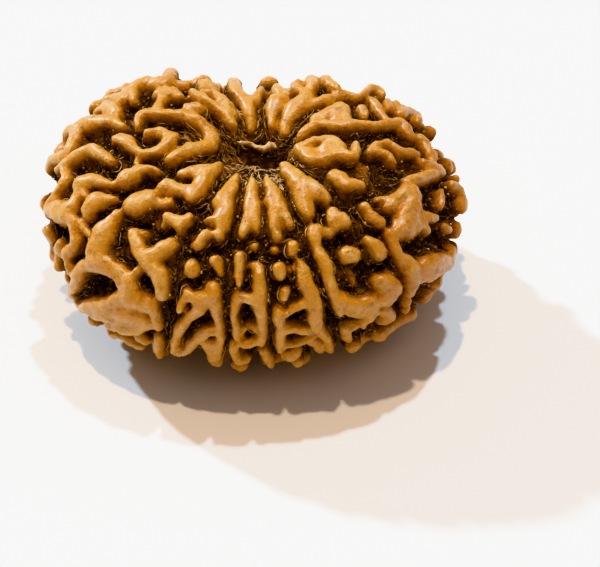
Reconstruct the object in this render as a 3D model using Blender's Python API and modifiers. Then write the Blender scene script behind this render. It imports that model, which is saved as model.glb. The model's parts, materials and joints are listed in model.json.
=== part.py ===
"""A rudraksha seed: one woody stone, oval in plan, its surface raised in knobs and ridges between radial grooves.

Metres, +Z up along the line through the two poles, X along the longest side, origin under the middle of the
seed on the surface that it rests on. The crest form is the smooth skin that the ridge tops reach. Each of its
vertices is lowered by how far it lies from the nearest ridge, so that round ridges stand between deep grooves.
The ridges that the photograph shows were drawn by hand over it, and each drawn point is dropped along its line of
sight onto the crest form. The hidden sides are filled by a seeded rule.
"""

import math
import random

import bmesh
import bpy
import numpy as np
from mathutils import Matrix, Vector
from mathutils.bvhtree import BVHTree
from mathutils.kdtree import KDTree

MM = 0.001

# Driving dimensions of the crest form
LENGTH = 34.0 * MM
DEPTH = 29.2 * MM
HEIGHT = 18.6 * MM
PLAN_FULLNESS = 2.25
SIDE_FULLNESS = 2.35
POLE_DIP = 2.2 * MM
POLE_DIP_SPREAD = 0.28

# How far the form bulges past an even one, as a share of its radius, every 45 degrees round from +X
BULGES_ABOVE = (0.0, 0.0, -0.076, 0.052, 0.028, -0.024, 0.0, 0.004)
BULGES_BELOW = (-0.02, 0.0, 0.0, 0.0, -0.042, -0.007, -0.015, -0.048)

# The relief
CROWN_FLOOR = 1.8 * MM
BELT_FLOOR = 2.7 * MM
HOLE_DEPTH = 0.5 * MM
HOLE_SPREAD = 2.3 * MM
ROUND_HEIGHT = 0.85 * MM
WALL_SLOPE = 5.0
TALL_WIDTH = 0.55 * MM
TALL_RISE = 0.4
MOST_RISE = 0.2 * MM
JOIN_SOFTNESS = 0.3 * MM
STATION_STEP = 0.35 * MM
LEAST_WIDTH = 0.12 * MM
ROOT_SHARE = 0.45
ROOT_SINK = 2.1 * MM
GROOVE_AZIMUTHS = (-178, -158, -129, -88, -49, -23, -1, 31, 77, 112, 130, 153)
GROOVE_SQUEEZE = 0.36

# The line of sight of the photograph, whose picture is 600 by 567 pixels
SIGHT_ELEVATION = math.radians(42.0)
SIGHT_DISTANCE = 200.0 * MM
SIGHT_AIM = Vector((3.75, -4.5, 6.0 - 9.3)) * MM
PICTURE_MIDDLE = (300.0, 283.5)
PIXELS_PER_MM = 12.45
LEAN_PIXELS = 2.5
HOLE_PIXEL = (259, 155)
HOLE_RING_PIXELS = (52, 37)

# Making the solid
SPHERE_DIVISIONS = 7
VOXEL = 0.3 * MM
MELT_ROUNDS = 6
MOST_TRIANGLES = 11400
FOOT_CUT = 0.45 * MM
REST_BLOCK = (60 * MM, 60 * MM, 10 * MM)

# The hidden sides. Bare pixels are spots at the seed's edge where the photograph shows no ridge.
HIDDEN_SEED = 11
HIDDEN_TRIES = 9000
HIDDEN_SPACING = 2.0 * MM
HIDDEN_CLEARANCE = 1.6 * MM
HIDDEN_LINK_REACH = 3.3 * MM
EDGE_FACING = (-0.45, 0.16)
BARE_PIXELS = ((186, 76), (286, 76), (343, 85), (364, 87), (45, 193), (285, 365), (185, 358), (125, 343))
BARE_REACH = 12
GROOVE_SHARE = 0.6
GROOVE_MARGIN = 0.25 * MM
PETAL_STEPS = (0.22, 0.3, 0.38, 0.47, 0.55)

SEED_COLOUR = (0.46, 0.22, 0.06, 1.0)

# Ridges drawn over the photograph. Each is a line of points (x, y, half width): x and y are pixels of the picture
# and the half width is in millimetres. A number ahead of the points is how far, in millimetres, the ridge's top
# stays under the crest form.
CROWN = {
    "front left petal": [(237, 172, 0.18), (233, 180, 0.4), (228, 190, 0.7), (223, 200, 0.92), (224, 208, 0.76),
                         (223, 217, 0.78), (222, 224, 0.6)],
    "front left spur": [(219, 217, 0.7), (212, 219, 0.42), (206, 218, 0.18)],
    "front left toe": [(206, 232, 0.34), (201, 238, 0.42), (197, 243, 0.45)],
    "front left heel": [(217, 232, 0.38), (219, 236, 0.36)],
    "front petal": [(252, 175, 0.15), (252, 184, 0.36), (251, 192, 0.54), (252, 201, 0.7), (252, 210, 0.72),
                    (250, 218, 0.62), (245, 226, 0.38), (242, 234, 0.22)],
    "front petal toe": [(254, 219, 0.5), (256, 228, 0.32)],
    "front right petal": [(266, 176, 0.2), (269, 183, 0.42), (273, 191, 0.68), (276, 200, 0.85), (277, 207, 0.8),
                          (275, 215, 0.56), (275, 225, 0.46), (277, 235, 0.36)],
    "front right branch": [(281, 208, 0.55), (287, 216, 0.36), (291, 223, 0.32)],
    "right fork": [(284, 164, 0.42), (291, 171, 0.7), (298, 179, 0.88), (303, 186, 0.92)],
    "right fork upper arm": [(304, 182, 0.8), (313, 186, 0.78), (320, 192, 0.66), (326, 196, 0.45)],
    "right fork lower arm": [(301, 191, 0.85), (304, 200, 0.84), (307, 207, 0.7), (308, 212, 0.52)],
    "kidney upper rim": [(300, 145, 0.45), (310, 140, 0.42), (322, 138, 0.42), (334, 139, 0.47), (341, 145, 0.5)],
    "kidney lower rim": [(297, 148, 0.42), (304, 151, 0.5), (313, 156, 0.58), (323, 157, 0.58), (331, 153, 0.6),
                         (340, 152, 0.6), (349, 154, 0.58), (354, 154, 0.48)],
    "kidney middle": [0.35, (311, 148, 0.6), (320, 148, 0.7)],
    "kidney plate": [0.08, (326, 147, 0.8), (334, 148, 0.8)],
    "long bar": [(298, 135, 0.26), (304, 129, 0.36), (312, 124, 0.4), (322, 122, 0.42), (334, 123, 0.44),
                 (346, 123, 0.46), (358, 122, 0.44), (370, 123, 0.4), (382, 123, 0.45), (393, 121, 0.65),
                 (401, 122, 0.8), (407, 128, 0.62), (413, 135, 0.4)],
    "long bar plate": [0.08, (314, 118, 0.42), (325, 113, 0.62), (335, 108, 0.78), (342, 105, 0.75),
                       (345, 112, 0.65), (346, 117, 0.6), (338, 116, 0.7)],
    "back wedge": [(283, 130, 0.32), (286, 120, 0.58), (292, 111, 0.9), (299, 103, 1.1), (306, 96, 0.85),
                   (308, 89, 0.45)],
    "back wedge arm": [(297, 109, 0.6), (308, 104, 0.5), (321, 99, 0.44), (334, 95, 0.42), (346, 93, 0.44),
                       (356, 95, 0.42)],
    "back petal": [(270, 124, 0.3), (271, 114, 0.5), (274, 104, 0.78), (279, 97, 0.92)],
    "back petal peaks": [(276, 84, 0.45), (278, 90, 0.5), (286, 90, 0.4)],
    "back fork": [(251, 127, 0.2), (251, 118, 0.35), (249, 108, 0.52), (248, 101, 0.68)],
    "back fork left arm": [(244, 98, 0.6), (239, 90, 0.58), (235, 83, 0.55), (233, 79, 0.4)],
    "back fork right arm": [(254, 99, 0.5), (257, 93, 0.42), (262, 87, 0.3)],
    "back left bar": [(234, 123, 0.42), (228, 114, 0.55), (219, 107, 0.45), (209, 100, 0.45), (199, 94, 0.5),
                      (193, 90, 0.4)],
    "back left blade": [(233, 113, 0.5), (227, 103, 0.52), (221, 96, 0.58), (215, 92, 0.4)],
    "hairpin": [(137, 123, 0.3), (138, 114, 0.38), (147, 111, 0.48), (160, 111, 0.52), (173, 112, 0.48),
                (186, 114, 0.52), (198, 118, 0.52), (207, 125, 0.55), (213, 134, 0.62), (211, 142, 0.66),
                (203, 145, 0.72), (192, 147, 0.76), (181, 152, 0.7), (171, 157, 0.56)],
    "hairpin inner bar": [(146, 131, 0.38), (153, 129, 0.48), (162, 131, 0.55), (171, 134, 0.6), (176, 134, 0.4)],
    "hairpin inner tail": [(170, 139, 0.75), (164, 144, 0.6), (156, 149, 0.4), (147, 151, 0.38)],
    "left fork": [(220, 163, 0.3), (214, 167, 0.62), (206, 173, 0.8), (201, 182, 0.8), (196, 189, 0.85),
                  (192, 194, 0.66)],
    "left fork arm": [(206, 168, 0.8), (197, 169, 0.68), (187, 171, 0.5), (179, 173, 0.25)],
    "left fork knob": [(188, 188, 0.55), (180, 188, 0.5), (172, 186, 0.72), (165, 184, 0.75)],
    "left fork foot": [0.25, (168, 199, 0.36), (162, 200, 0.42), (156, 201, 0.38)],
}

LEFT = {
    "bean": [(114, 137, 0.42), (120, 136, 0.6), (126, 140, 0.58), (132, 146, 0.42), (140, 151, 0.3),
             (148, 151, 0.3)],
    "bean link": [0.5, (139, 152, 0.3), (134, 157, 0.3), (137, 163, 0.4)],
    "big ball": [(132, 205, 1.0), (140, 201, 1.15), (148, 197, 0.9)],
    "second ball": [(131, 174, 0.8), (126, 177, 0.95), (118, 181, 0.5), (110, 183, 0.32)],
    "second ball spike": [(138, 166, 0.5), (147, 166, 0.35), (157, 169, 0.2)],
    "third ball": [(77, 183, 0.72), (84, 180, 0.85), (93, 179, 0.65), (101, 181, 0.42), (108, 183, 0.3)],
    "third ball foot": [(77, 189, 0.45), (82, 194, 0.36)],
    "fourth ball": [(86, 213, 0.6), (88, 206, 0.84), (94, 200, 0.92), (102, 198, 0.58), (111, 198, 0.3)],
    "arch": [(62, 168, 0.35), (64, 161, 0.48), (69, 158, 0.5), (77, 153, 0.55), (86, 148, 0.58), (96, 150, 0.58),
             (104, 155, 0.5), (110, 159, 0.38)],
    "arch foot": [(62, 170, 0.35), (64, 177, 0.5), (61, 182, 0.45)],
    "arch toe": [(55, 169, 0.4), (60, 164, 0.35)],
    "hood": [(122, 125, 0.35), (113, 120, 0.55), (103, 119, 0.72), (93, 121, 0.95), (84, 123, 1.0), (77, 127, 0.95),
             (73, 136, 0.72), (69, 146, 0.55), (64, 153, 0.5), (56, 157, 0.68), (50, 161, 0.72), (47, 168, 0.62)],
    "hood knob": [0.3, (57, 146, 0.5)],
    "upper lobe": [(105, 103, 0.6), (110, 107, 0.8), (115, 111, 0.6)],
    "upper lobe back": [(107, 97, 0.42), (116, 95, 0.42), (124, 98, 0.4)],
    "upper lobe lip": [(94, 111, 0.3), (99, 108, 0.4)],
    "shoulder knob": [-0.2, (126, 87, 0.42), (127, 94, 0.4), (123, 99, 0.38)],
    "shoulder arch": [-0.25, (134, 100, 0.4), (133, 92, 0.5), (138, 85, 0.62), (147, 81, 0.6), (155, 83, 0.52),
                      (159, 88, 0.33)],
    "top block": [-0.45, (149, 73, 0.5), (157, 71, 0.6), (166, 70, 0.65), (171, 75, 0.55), (170, 82, 0.4)],
    "top block side": [(178, 83, 0.5), (186, 83, 0.42)],
    "nose": [-0.1, (156, 93, 0.38), (163, 92, 0.55), (171, 91, 0.66), (179, 95, 0.5)],
    "nose leg": [(161, 98, 0.5), (157, 105, 0.42)],
    "grain": [(187, 106, 0.4), (195, 105, 0.55), (201, 107, 0.36)],
    "back tooth": [(207, 75, 0.45), (206, 82, 0.75), (209, 90, 0.7)],
    "back tooth side": [(218, 83, 0.3), (217, 89, 0.36)],
    "wall rim": [(58, 187, 0.38), (53, 193, 0.42), (49, 201, 0.45), (45, 210, 0.48)],
    "wall slab": [(46, 211, 0.6), (53, 209, 0.8), (61, 209, 0.92), (68, 208, 0.85), (72, 203, 0.6), (73, 197, 0.4)],
    "wall slab foot": [(56, 215, 0.65), (65, 217, 0.7), (71, 221, 0.5), (71, 230, 0.38), (73, 240, 0.36)],
    "wall column": [(73, 240, 0.36), (71, 249, 0.45), (64, 253, 0.55), (65, 262, 0.45), (68, 272, 0.42)],
    "wall splinter": [0.4, (78, 220, 0.42), (80, 228, 0.36), (83, 233, 0.32)],
    "far wall": [0.3, (54, 246, 0.5), (52, 252, 0.45), (58, 257, 0.4)],
}

LOWER_LEFT = {
    "fin": [(115, 213, 0.45), (110, 221, 0.7), (104, 230, 0.95), (98, 240, 1.2), (95, 250, 1.3), (96, 259, 1.1)],
    "fin right root": [(103, 261, 0.7), (112, 267, 0.5), (121, 274, 0.45), (128, 282, 0.6)],
    "pit rim left": [(90, 265, 0.6), (80, 268, 0.6), (75, 277, 0.65), (72, 288, 0.5), (69, 298, 0.45),
                     (74, 306, 0.55)],
    "pit rim top": [(92, 267, 0.6), (102, 269, 0.55), (112, 275, 0.45), (119, 284, 0.5)],
    "pit rim bottom": [(74, 306, 0.55), (85, 308, 0.6), (97, 307, 0.6), (109, 305, 0.65), (119, 299, 0.7),
                       (127, 291, 0.8)],
    "plate": [0.1, (127, 301, 1.0), (138, 304, 1.0), (148, 307, 0.8)],
    "plate bridge": [(128, 282, 0.7), (129, 292, 0.8)],
    "small pit rim": [(132, 276, 0.4), (136, 270, 0.3)],
    "plate lower": [0.1, (92, 316, 0.7), (104, 316, 0.9), (117, 317, 1.0), (129, 318, 1.0), (140, 321, 0.8)],
    "plate edge": [(118, 328, 0.7), (129, 331, 0.7), (139, 329, 0.6), (149, 326, 0.42)],
    "under knob one": [(90, 322, 0.5), (94, 328, 0.55)],
    "under knob two": [(108, 326, 0.5), (113, 331, 0.4)],
    "under knob three": [(138, 340, 0.4), (145, 344, 0.42)],
    "left arm": [(131, 232, 0.5), (134, 242, 0.6), (138, 252, 0.62), (144, 259, 0.72)],
    "left arm cap": [0.5, (132, 231, 0.4), (141, 230, 0.35)],
    "right arm": [(148, 257, 0.8), (157, 252, 0.78), (165, 247, 0.75), (170, 243, 0.55)],
    "leg": [(147, 263, 0.8), (154, 270, 0.8), (159, 279, 0.78), (161, 289, 0.65), (160, 297, 0.5)],
    "saddle": [(166, 216, 0.4), (172, 219, 0.52), (179, 221, 0.62), (185, 218, 0.45), (189, 214, 0.3)],
    "saddle foot": [(179, 222, 0.55), (179, 228, 0.36)],
    "saddle tail": [0.4, (166, 218, 0.38), (161, 223, 0.3)],
    "column top": [(153, 313, 0.38), (155, 322, 0.36), (157, 330, 0.28)],
    "column foot": [(157, 340, 0.38), (157, 350, 0.42), (159, 358, 0.4)],
}

FRONT = {
    "bead": [(190, 266, 0.6), (190, 271, 0.62)],
    "drop": [(215, 261, 0.5), (217, 267, 0.38), (220, 274, 0.22)],
    "first block rail": [(212, 289, 0.62), (213, 299, 0.64), (215, 309, 0.5), (217, 320, 0.37), (219, 332, 0.34),
                         (220, 344, 0.3)],
    "first block bridge": [(207, 298, 0.55), (197, 300, 0.55), (188, 298, 0.4), (184, 293, 0.32)],
    "first block leg": [(184, 298, 0.34), (181, 305, 0.33), (179, 312, 0.28)],
    "first block left side": [(201, 306, 0.5), (196, 313, 0.42), (189, 320, 0.38), (183, 326, 0.38),
                              (177, 335, 0.42), (174, 345, 0.36), (173, 353, 0.32)],
    "first block sill": [(175, 356, 0.34), (184, 354, 0.34), (192, 346, 0.38), (199, 339, 0.42), (206, 334, 0.45),
                         (214, 333, 0.42)],
    "first block tip": [(218, 345, 0.38), (218, 352, 0.36)],
    "first block tooth": [(204, 344, 0.32), (208, 353, 0.4), (212, 362, 0.4), (216, 369, 0.32)],
    "first block tooth side": [(213, 346, 0.4), (217, 358, 0.4), (218, 366, 0.32)],
    "second block splinter": [(239, 256, 0.38), (239, 266, 0.33), (239, 276, 0.32), (239, 286, 0.16)],
    "second block knob": [0.35, (254, 265, 0.4), (258, 267, 0.42)],
    "second block right rail": [(258, 275, 0.4), (259, 285, 0.5), (260, 296, 0.55), (260, 308, 0.5),
                                (261, 320, 0.45), (262, 332, 0.36), (262, 346, 0.32)],
    "second block left rail": [(238, 297, 0.38), (235, 306, 0.4), (234, 316, 0.34), (235, 327, 0.34),
                               (237, 340, 0.3)],
    "second block lintel": [(241, 298, 0.38), (249, 300, 0.38), (257, 302, 0.5)],
    "second block sill": [(242, 346, 0.3), (249, 347, 0.33), (256, 345, 0.3)],
    "second block inner arch": [0.4, (242, 340, 0.24), (245, 333, 0.24), (250, 330, 0.26), (254, 336, 0.24)],
    "second block foot": [(234, 348, 0.3), (234, 356, 0.34), (238, 363, 0.4), (246, 363, 0.42)],
    "second block tooth": [(263, 354, 0.32), (267, 361, 0.38), (271, 367, 0.34)],
    "seed bead one": [0.2, (254, 245, 0.36)],
    "seed bead two": [0.6, (275, 248, 0.36)],
    "seed bead three": [(293, 244, 0.5), (293, 250, 0.44)],
    "third block knob": [(279, 267, 0.55), (280, 274, 0.5)],
    "third block knob link": [0.8, (286, 269, 0.36), (295, 268, 0.3)],
    "third block bead": [0.2, (286, 293, 0.42), (284, 299, 0.42)],
    "third block long rail": [(300, 262, 0.3), (304, 270, 0.5), (306, 280, 0.58), (309, 290, 0.58),
                              (313, 300, 0.6), (316, 311, 0.66), (317, 321, 0.7), (317, 327, 0.58)],
    "third block left rail": [(278, 313, 0.44), (279, 322, 0.44), (281, 331, 0.38), (280, 341, 0.38),
                              (281, 351, 0.38)],
    "third block lintel": [(281, 318, 0.4), (288, 315, 0.32), (295, 310, 0.3), (303, 306, 0.34)],
    "third block sill": [(284, 332, 0.4), (295, 332, 0.42), (306, 333, 0.4), (316, 333, 0.33)],
    "third block lip": [0.2, (289, 350, 0.26), (298, 348, 0.26), (307, 345, 0.26), (315, 341, 0.26)],
    "third block lower rail": [(322, 333, 0.38), (327, 341, 0.38), (331, 350, 0.4), (335, 358, 0.38),
                               (338, 363, 0.3)],
    "third block foot": [(286, 358, 0.45), (291, 360, 0.5), (298, 355, 0.4)],
    "third block plate": [0.3, (313, 347, 0.42), (320, 353, 0.45), (327, 360, 0.36)],
}

RIGHT = {
    "hook": [(316, 227, 0.55), (315, 235, 0.55), (317, 245, 0.34)],
    "hook link": [0.35, (323, 228, 0.36), (331, 231, 0.32)],
    "twin knob": [(334, 210, 0.5), (335, 217, 0.62), (337, 224, 0.45)],
    "twin knob side": [(343, 215, 0.44), (347, 222, 0.42)],
    "fourth block rail": [(318, 250, 0.3), (323, 257, 0.55), (326, 266, 0.55), (329, 276, 0.5), (332, 286, 0.5),
                          (335, 296, 0.45), (338, 306, 0.38), (341, 317, 0.24)],
    "round bead": [(348, 255, 0.68), (355, 254, 0.66)],
    "oblong": [(370, 240, 0.52), (377, 247, 0.7), (382, 254, 0.65)],
    "kidney neighbour": [(334, 173, 0.5), (341, 176, 0.76), (346, 182, 0.74), (354, 182, 0.52), (362, 183, 0.4)],
    "ochre heap": [1.0, (367, 158, 0.5), (365, 166, 0.65), (369, 174, 0.5)],
    "twin bean": [(366, 205, 0.46), (370, 210, 0.3), (376, 217, 0.52), (382, 221, 0.46)],
    "big knob": [(380, 282, 0.6), (388, 286, 1.1), (393, 293, 1.1), (388, 300, 1.0)],
    "big knob rim": [(379, 303, 0.75), (368, 304, 0.62), (358, 308, 0.6), (350, 304, 0.55), (342, 298, 0.42)],
    "inner tooth": [0.7, (351, 272, 0.3), (356, 279, 0.34), (358, 286, 0.26)],
    "inner shelf": [1.2, (343, 274, 0.6), (350, 282, 0.5)],
    "lower plate": [0.2, (353, 313, 0.7), (364, 314, 0.8), (376, 316, 0.65), (371, 323, 0.5)],
    "lower tooth": [(346, 330, 0.36), (348, 338, 0.4), (350, 342, 0.3)],
    "lower ring": [0.2, (356, 331, 0.4), (362, 327, 0.4), (366, 331, 0.36)],
    "lower round": [0.2, (387, 314, 0.65), (393, 320, 0.6), (386, 325, 0.55)],
    "column": [(391, 233, 0.48), (395, 242, 0.46), (399, 251, 0.42), (405, 260, 0.62), (411, 267, 0.9),
               (414, 277, 0.82), (414, 287, 0.7), (412, 295, 0.5)],
    "column tail": [(410, 303, 0.4), (408, 312, 0.34)],
    "slab top arm": [(410, 180, 0.45), (418, 178, 0.5), (427, 175, 0.55), (437, 172, 0.58), (444, 170, 0.4)],
    "slab": [(391, 205, 0.5), (398, 199, 0.65), (406, 193, 0.8), (412, 190, 0.98), (413, 201, 1.1), (410, 211, 1.1),
             (406, 221, 1.1), (401, 231, 0.75)],
    "slab lower": [0.1, (415, 215, 0.8), (417, 225, 0.75), (411, 232, 0.6)],
    "slab point": [(424, 216, 0.55), (431, 216, 0.5), (438, 217, 0.34)],
    "slab point lower": [0.2, (426, 224, 0.5), (431, 230, 0.42)],
    "slab spur": [0.3, (393, 196, 0.45), (385, 195, 0.3), (378, 197, 0.2)],
    "pit column": [-0.1, (442, 191, 0.34), (443, 198, 0.36), (443, 205, 0.3)],
    "far knob": [-0.45, (450, 186, 0.38), (456, 192, 0.45), (459, 201, 0.62), (459, 208, 0.58)],
    "far upper knob": [-0.35, (455, 180, 0.5)],
    "far lower knob": [0.3, (451, 226, 0.38), (455, 231, 0.45)],
    "lower lobe": [-0.15, (424, 267, 0.75), (434, 265, 1.05), (444, 265, 0.95), (451, 259, 0.6), (453, 250, 0.4)],
    "lower lobe foot": [(424, 278, 0.62), (433, 276, 0.75), (442, 272, 0.6)],
    "wave": [(371, 150, 0.26), (379, 143, 0.43), (388, 141, 0.5), (395, 145, 0.48), (402, 150, 0.42),
             (411, 151, 0.42), (419, 152, 0.36)],
    "wave inner": [0.12, (378, 149, 0.45), (386, 151, 0.45), (392, 156, 0.36), (396, 160, 0.25)],
    "small pillar": [(356, 142, 0.34), (357, 149, 0.38)],
    "rim lobe": [(421, 137, 0.5), (427, 143, 0.66), (431, 150, 0.55), (434, 157, 0.4)],
    "rim lobe back": [0.4, (439, 150, 0.4), (441, 156, 0.3)],
    "rim bar": [(425, 161, 0.4), (434, 164, 0.48), (442, 167, 0.45)],
    "shoulder hump": [-0.3, (363, 95, 0.35), (370, 91, 0.45), (377, 91, 0.48), (383, 96, 0.38)],
    "finger": [(373, 99, 0.42), (378, 104, 0.4), (383, 111, 0.36), (387, 118, 0.28)],
    "ochre knob": [0.15, (363, 106, 0.5), (366, 112, 0.42)],
    "edge knob one": [-0.2, (388, 102, 0.42), (390, 109, 0.4)],
    "edge knob two": [-0.2, (396, 104, 0.45), (401, 110, 0.42)],
    "edge knob three": [-0.2, (406, 106, 0.5), (411, 112, 0.5), (417, 116, 0.52), (418, 122, 0.4)],
    "back knob one": [-0.4, (312, 82, 0.6), (314, 88, 0.46)],
    "back knob two": [-0.4, (325, 81, 0.5), (330, 85, 0.5), (335, 90, 0.45)],
    "back knob three": [-0.3, (297, 85, 0.6), (296, 90, 0.46)],
}


def signed_power(value, power):
    """value to a power, keeping its sign."""
    return math.copysign(abs(value) ** power, value)


def bulge(azimuth, values):
    """The bulge towards an azimuth, blended between the values of the two nearest directions."""
    total = 0.0
    for number, value in enumerate(values):
        gap = math.remainder(azimuth - math.radians(45 * number), 2 * math.pi)
        if abs(gap) < math.pi / 4:
            total += value * math.cos(2 * gap) ** 2
    return total


def form_point(azimuth, latitude):
    """A point of the crest form. Azimuth is from +X and latitude from the belt, in radians."""
    across = signed_power(math.cos(latitude), 2 / SIDE_FULLNESS)
    x = LENGTH / 2 * signed_power(math.cos(azimuth), 2 / PLAN_FULLNESS) * across
    y = DEPTH / 2 * signed_power(math.sin(azimuth), 2 / PLAN_FULLNESS) * across
    z = HEIGHT / 2 * signed_power(math.sin(latitude), 2 / SIDE_FULLNESS)
    reach = math.hypot(2 * x / LENGTH, 2 * y / DEPTH)
    above = min(1.0, max(0.0, 4 * z / HEIGHT + 0.5))
    swell = bulge(azimuth, BULGES_ABOVE) * above + bulge(azimuth, BULGES_BELOW) * (1 - above)
    place = Vector((x, y, z)) * (1 + swell * min(1.0, reach / 0.5))
    place.z -= math.copysign(POLE_DIP * math.exp(-((reach / POLE_DIP_SPREAD) ** 2)), z)
    return place


def crest_mesh():
    """The crest form as an even sphere of triangles whose vertices are moved onto it."""
    mesh = bmesh.new()
    bmesh.ops.create_icosphere(mesh, subdivisions=SPHERE_DIVISIONS, radius=1.0)
    for vertex in mesh.verts:
        azimuth = math.atan2(vertex.co.y, vertex.co.x)
        vertex.co = form_point(azimuth, math.asin(max(-1.0, min(1.0, vertex.co.z))))
    mesh.normal_update()
    return mesh


def sight_lines():
    """The eye of the photograph and its right, up and back directions."""
    back = Vector((0, -math.cos(SIGHT_ELEVATION), math.sin(SIGHT_ELEVATION)))
    right = Vector((1, 0, 0))
    return SIGHT_AIM + back * SIGHT_DISTANCE, right, back.cross(right), back


def seen_at(tree, x, y):
    """The place on the crest form that the line of sight through pixel (x, y) meets, and its outward direction."""
    eye, right, up, back = sight_lines()
    span = PIXELS_PER_MM / MM * SIGHT_DISTANCE
    ray = (right * ((x - PICTURE_MIDDLE[0]) / span) - up * ((y - PICTURE_MIDDLE[1]) / span) - back).normalized()
    place, normal = tree.ray_cast(eye, ray)[:2]
    if place is None:
        place, normal = tree.find_nearest(eye + ray * (-eye).dot(ray))[:2]
    return place, normal


def drop_on_form(tree, x, y):
    """A ridge's place on the crest form. Its near wall shows too, so its top lies outward of its drawn middle."""
    _, right, up, _ = sight_lines()
    normal = seen_at(tree, x, y)[1]
    return seen_at(tree, x + LEAN_PIXELS * normal.dot(right), y - LEAN_PIXELS * normal.dot(up))[0]


def pixel_of(place):
    """The pixel (x, y) of the photograph's line of sight to a place."""
    eye, right, up, back = sight_lines()
    away = place - eye
    span = PIXELS_PER_MM / MM * SIGHT_DISTANCE / -away.dot(back)
    return PICTURE_MIDDLE[0] + away.dot(right) * span, PICTURE_MIDDLE[1] - away.dot(up) * span


def petal_root(tree, first_point):
    """A low root that runs from a petal's inner tip into the hole, sinking as it goes."""
    x, y, half = first_point
    across, down = HOLE_PIXEL[0] - x, HOLE_PIXEL[1] - y
    if math.hypot(across / HOLE_RING_PIXELS[0], down / HOLE_RING_PIXELS[1]) > 1:
        return []
    root = []
    for share in (0.0, 0.5, 1.0):
        place = drop_on_form(tree, x + across * ROOT_SHARE * share, y + down * ROOT_SHARE * share)
        root.append((place, half * MM * (0.9 - 0.5 * share), ROOT_SINK * share))
    return [root]


def drawn_ridges(tree):
    """The ridges of the photograph as lists of stations (place, half width, drop), in metres."""
    ridges = []
    for points in CROWN.values():
        ridges += petal_root(tree, next(point for point in points if isinstance(point, tuple)))
    for drawing in (CROWN, LEFT, LOWER_LEFT, FRONT, RIGHT):
        for points in drawing.values():
            drop = points[0] * MM if isinstance(points[0], float) else 0.0
            marks = [point for point in points if isinstance(point, tuple)]
            ridges.append([(drop_on_form(tree, x, y), half * MM, drop) for x, y, half in marks])
    return ridges


def groove_azimuth(ring_azimuth, latitude):
    """The azimuth of a groove at a latitude: grooves gather towards the front and back as they near the belt."""
    squeeze = 1 - (1 - GROOVE_SQUEEZE) * math.cos(latitude) ** 1.5
    ring = math.radians(ring_azimuth)
    return math.atan2(squeeze * math.sin(ring), math.cos(ring)) - math.pi / 2


def segment_of(azimuth, latitude):
    """The number of the segment between grooves that holds a place."""
    turn = 2 * math.pi
    edges = sorted((groove_azimuth(g, latitude) % turn, i) for i, g in enumerate(GROOVE_AZIMUTHS))
    below = [i for edge, i in edges if edge <= azimuth % turn]
    return below[-1] if below else edges[-1][1]


def groove_gap(place, latitude):
    """How far a place is from the nearest groove, in metres."""
    return min((place - form_point(groove_azimuth(g, latitude), latitude)).length for g in GROOVE_AZIMUTHS)


def lower_petals():
    """The petals round the lower hole, one to each segment, widening away from the hole."""
    draw = random.Random(HIDDEN_SEED + 1)
    petals = []
    for number, ring_azimuth in enumerate(GROOVE_AZIMUTHS):
        following = GROOVE_AZIMUTHS[(number + 1) % len(GROOVE_AZIMUTHS)]
        span = (following - ring_azimuth) % 360
        middle = ring_azimuth + span / 2 + draw.uniform(-2, 2)
        last = draw.choice((3, 4, 5))
        petal = []
        for step, reach in enumerate(PETAL_STEPS[:last]):
            latitude = -math.acos(min(1.0, reach) ** (SIDE_FULLNESS / 2))
            place = form_point(groove_azimuth(middle, latitude), latitude)
            room = reach * LENGTH / 2 * math.radians(span) * 0.3
            petal.append((place, min(room, (0.3 + 0.16 * step) * MM, 0.9 * MM), 0.0))
        petals.append(petal)
    return petals


def is_out_of_sight(tree, place):
    """Whether the photograph can't show what grows at a place, and shows no bare ground beside it."""
    normal = tree.find_nearest(place)[1]
    facing = (sight_lines()[0] - place).normalized().dot(normal)
    if facing < EDGE_FACING[0]:
        return True
    x, y = pixel_of(place)
    return facing < EDGE_FACING[1] and all(math.hypot(x - u, y - v) > BARE_REACH for u, v in BARE_PIXELS)


def spread_knobs(tree, taken, draw):
    """Knobs scattered over what the photograph doesn't show, clear of the taken places and of the grooves."""
    held = KDTree(len(taken))
    for index, place in enumerate(taken):
        held.insert(place, index)
    held.balance()
    knobs = []
    for _ in range(HIDDEN_TRIES):
        latitude = math.asin(draw.uniform(-0.985, 0.97))
        azimuth = draw.uniform(-math.pi, math.pi)
        half_width = draw.uniform(0.45, 0.9) * MM
        spacing = HIDDEN_SPACING * draw.uniform(0.85, 1.1)
        place = form_point(azimuth, latitude)
        if not is_out_of_sight(tree, place) or held.find(place)[2] < HIDDEN_CLEARANCE:
            continue
        if any((place - knob[0]).length < spacing for knob in knobs):
            continue
        if groove_gap(place, latitude) < half_width * GROOVE_SHARE + GROOVE_MARGIN:
            continue
        knobs.append((place, half_width, draw.uniform(-0.05, 0.25) * MM, segment_of(azimuth, latitude)))
    return knobs


def link_between(tree, first, second, draw):
    """A ridge from one knob to the next, narrower and lower at its middle."""
    place = tree.find_nearest((first[0] + second[0]) / 2)[0]
    half_width = min(first[1], second[1]) * draw.uniform(0.6, 0.95)
    sag = max(first[2], second[2]) + draw.uniform(0.0, 0.35) * MM
    return [first[:3], (place, half_width, sag), second[:3]]


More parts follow.
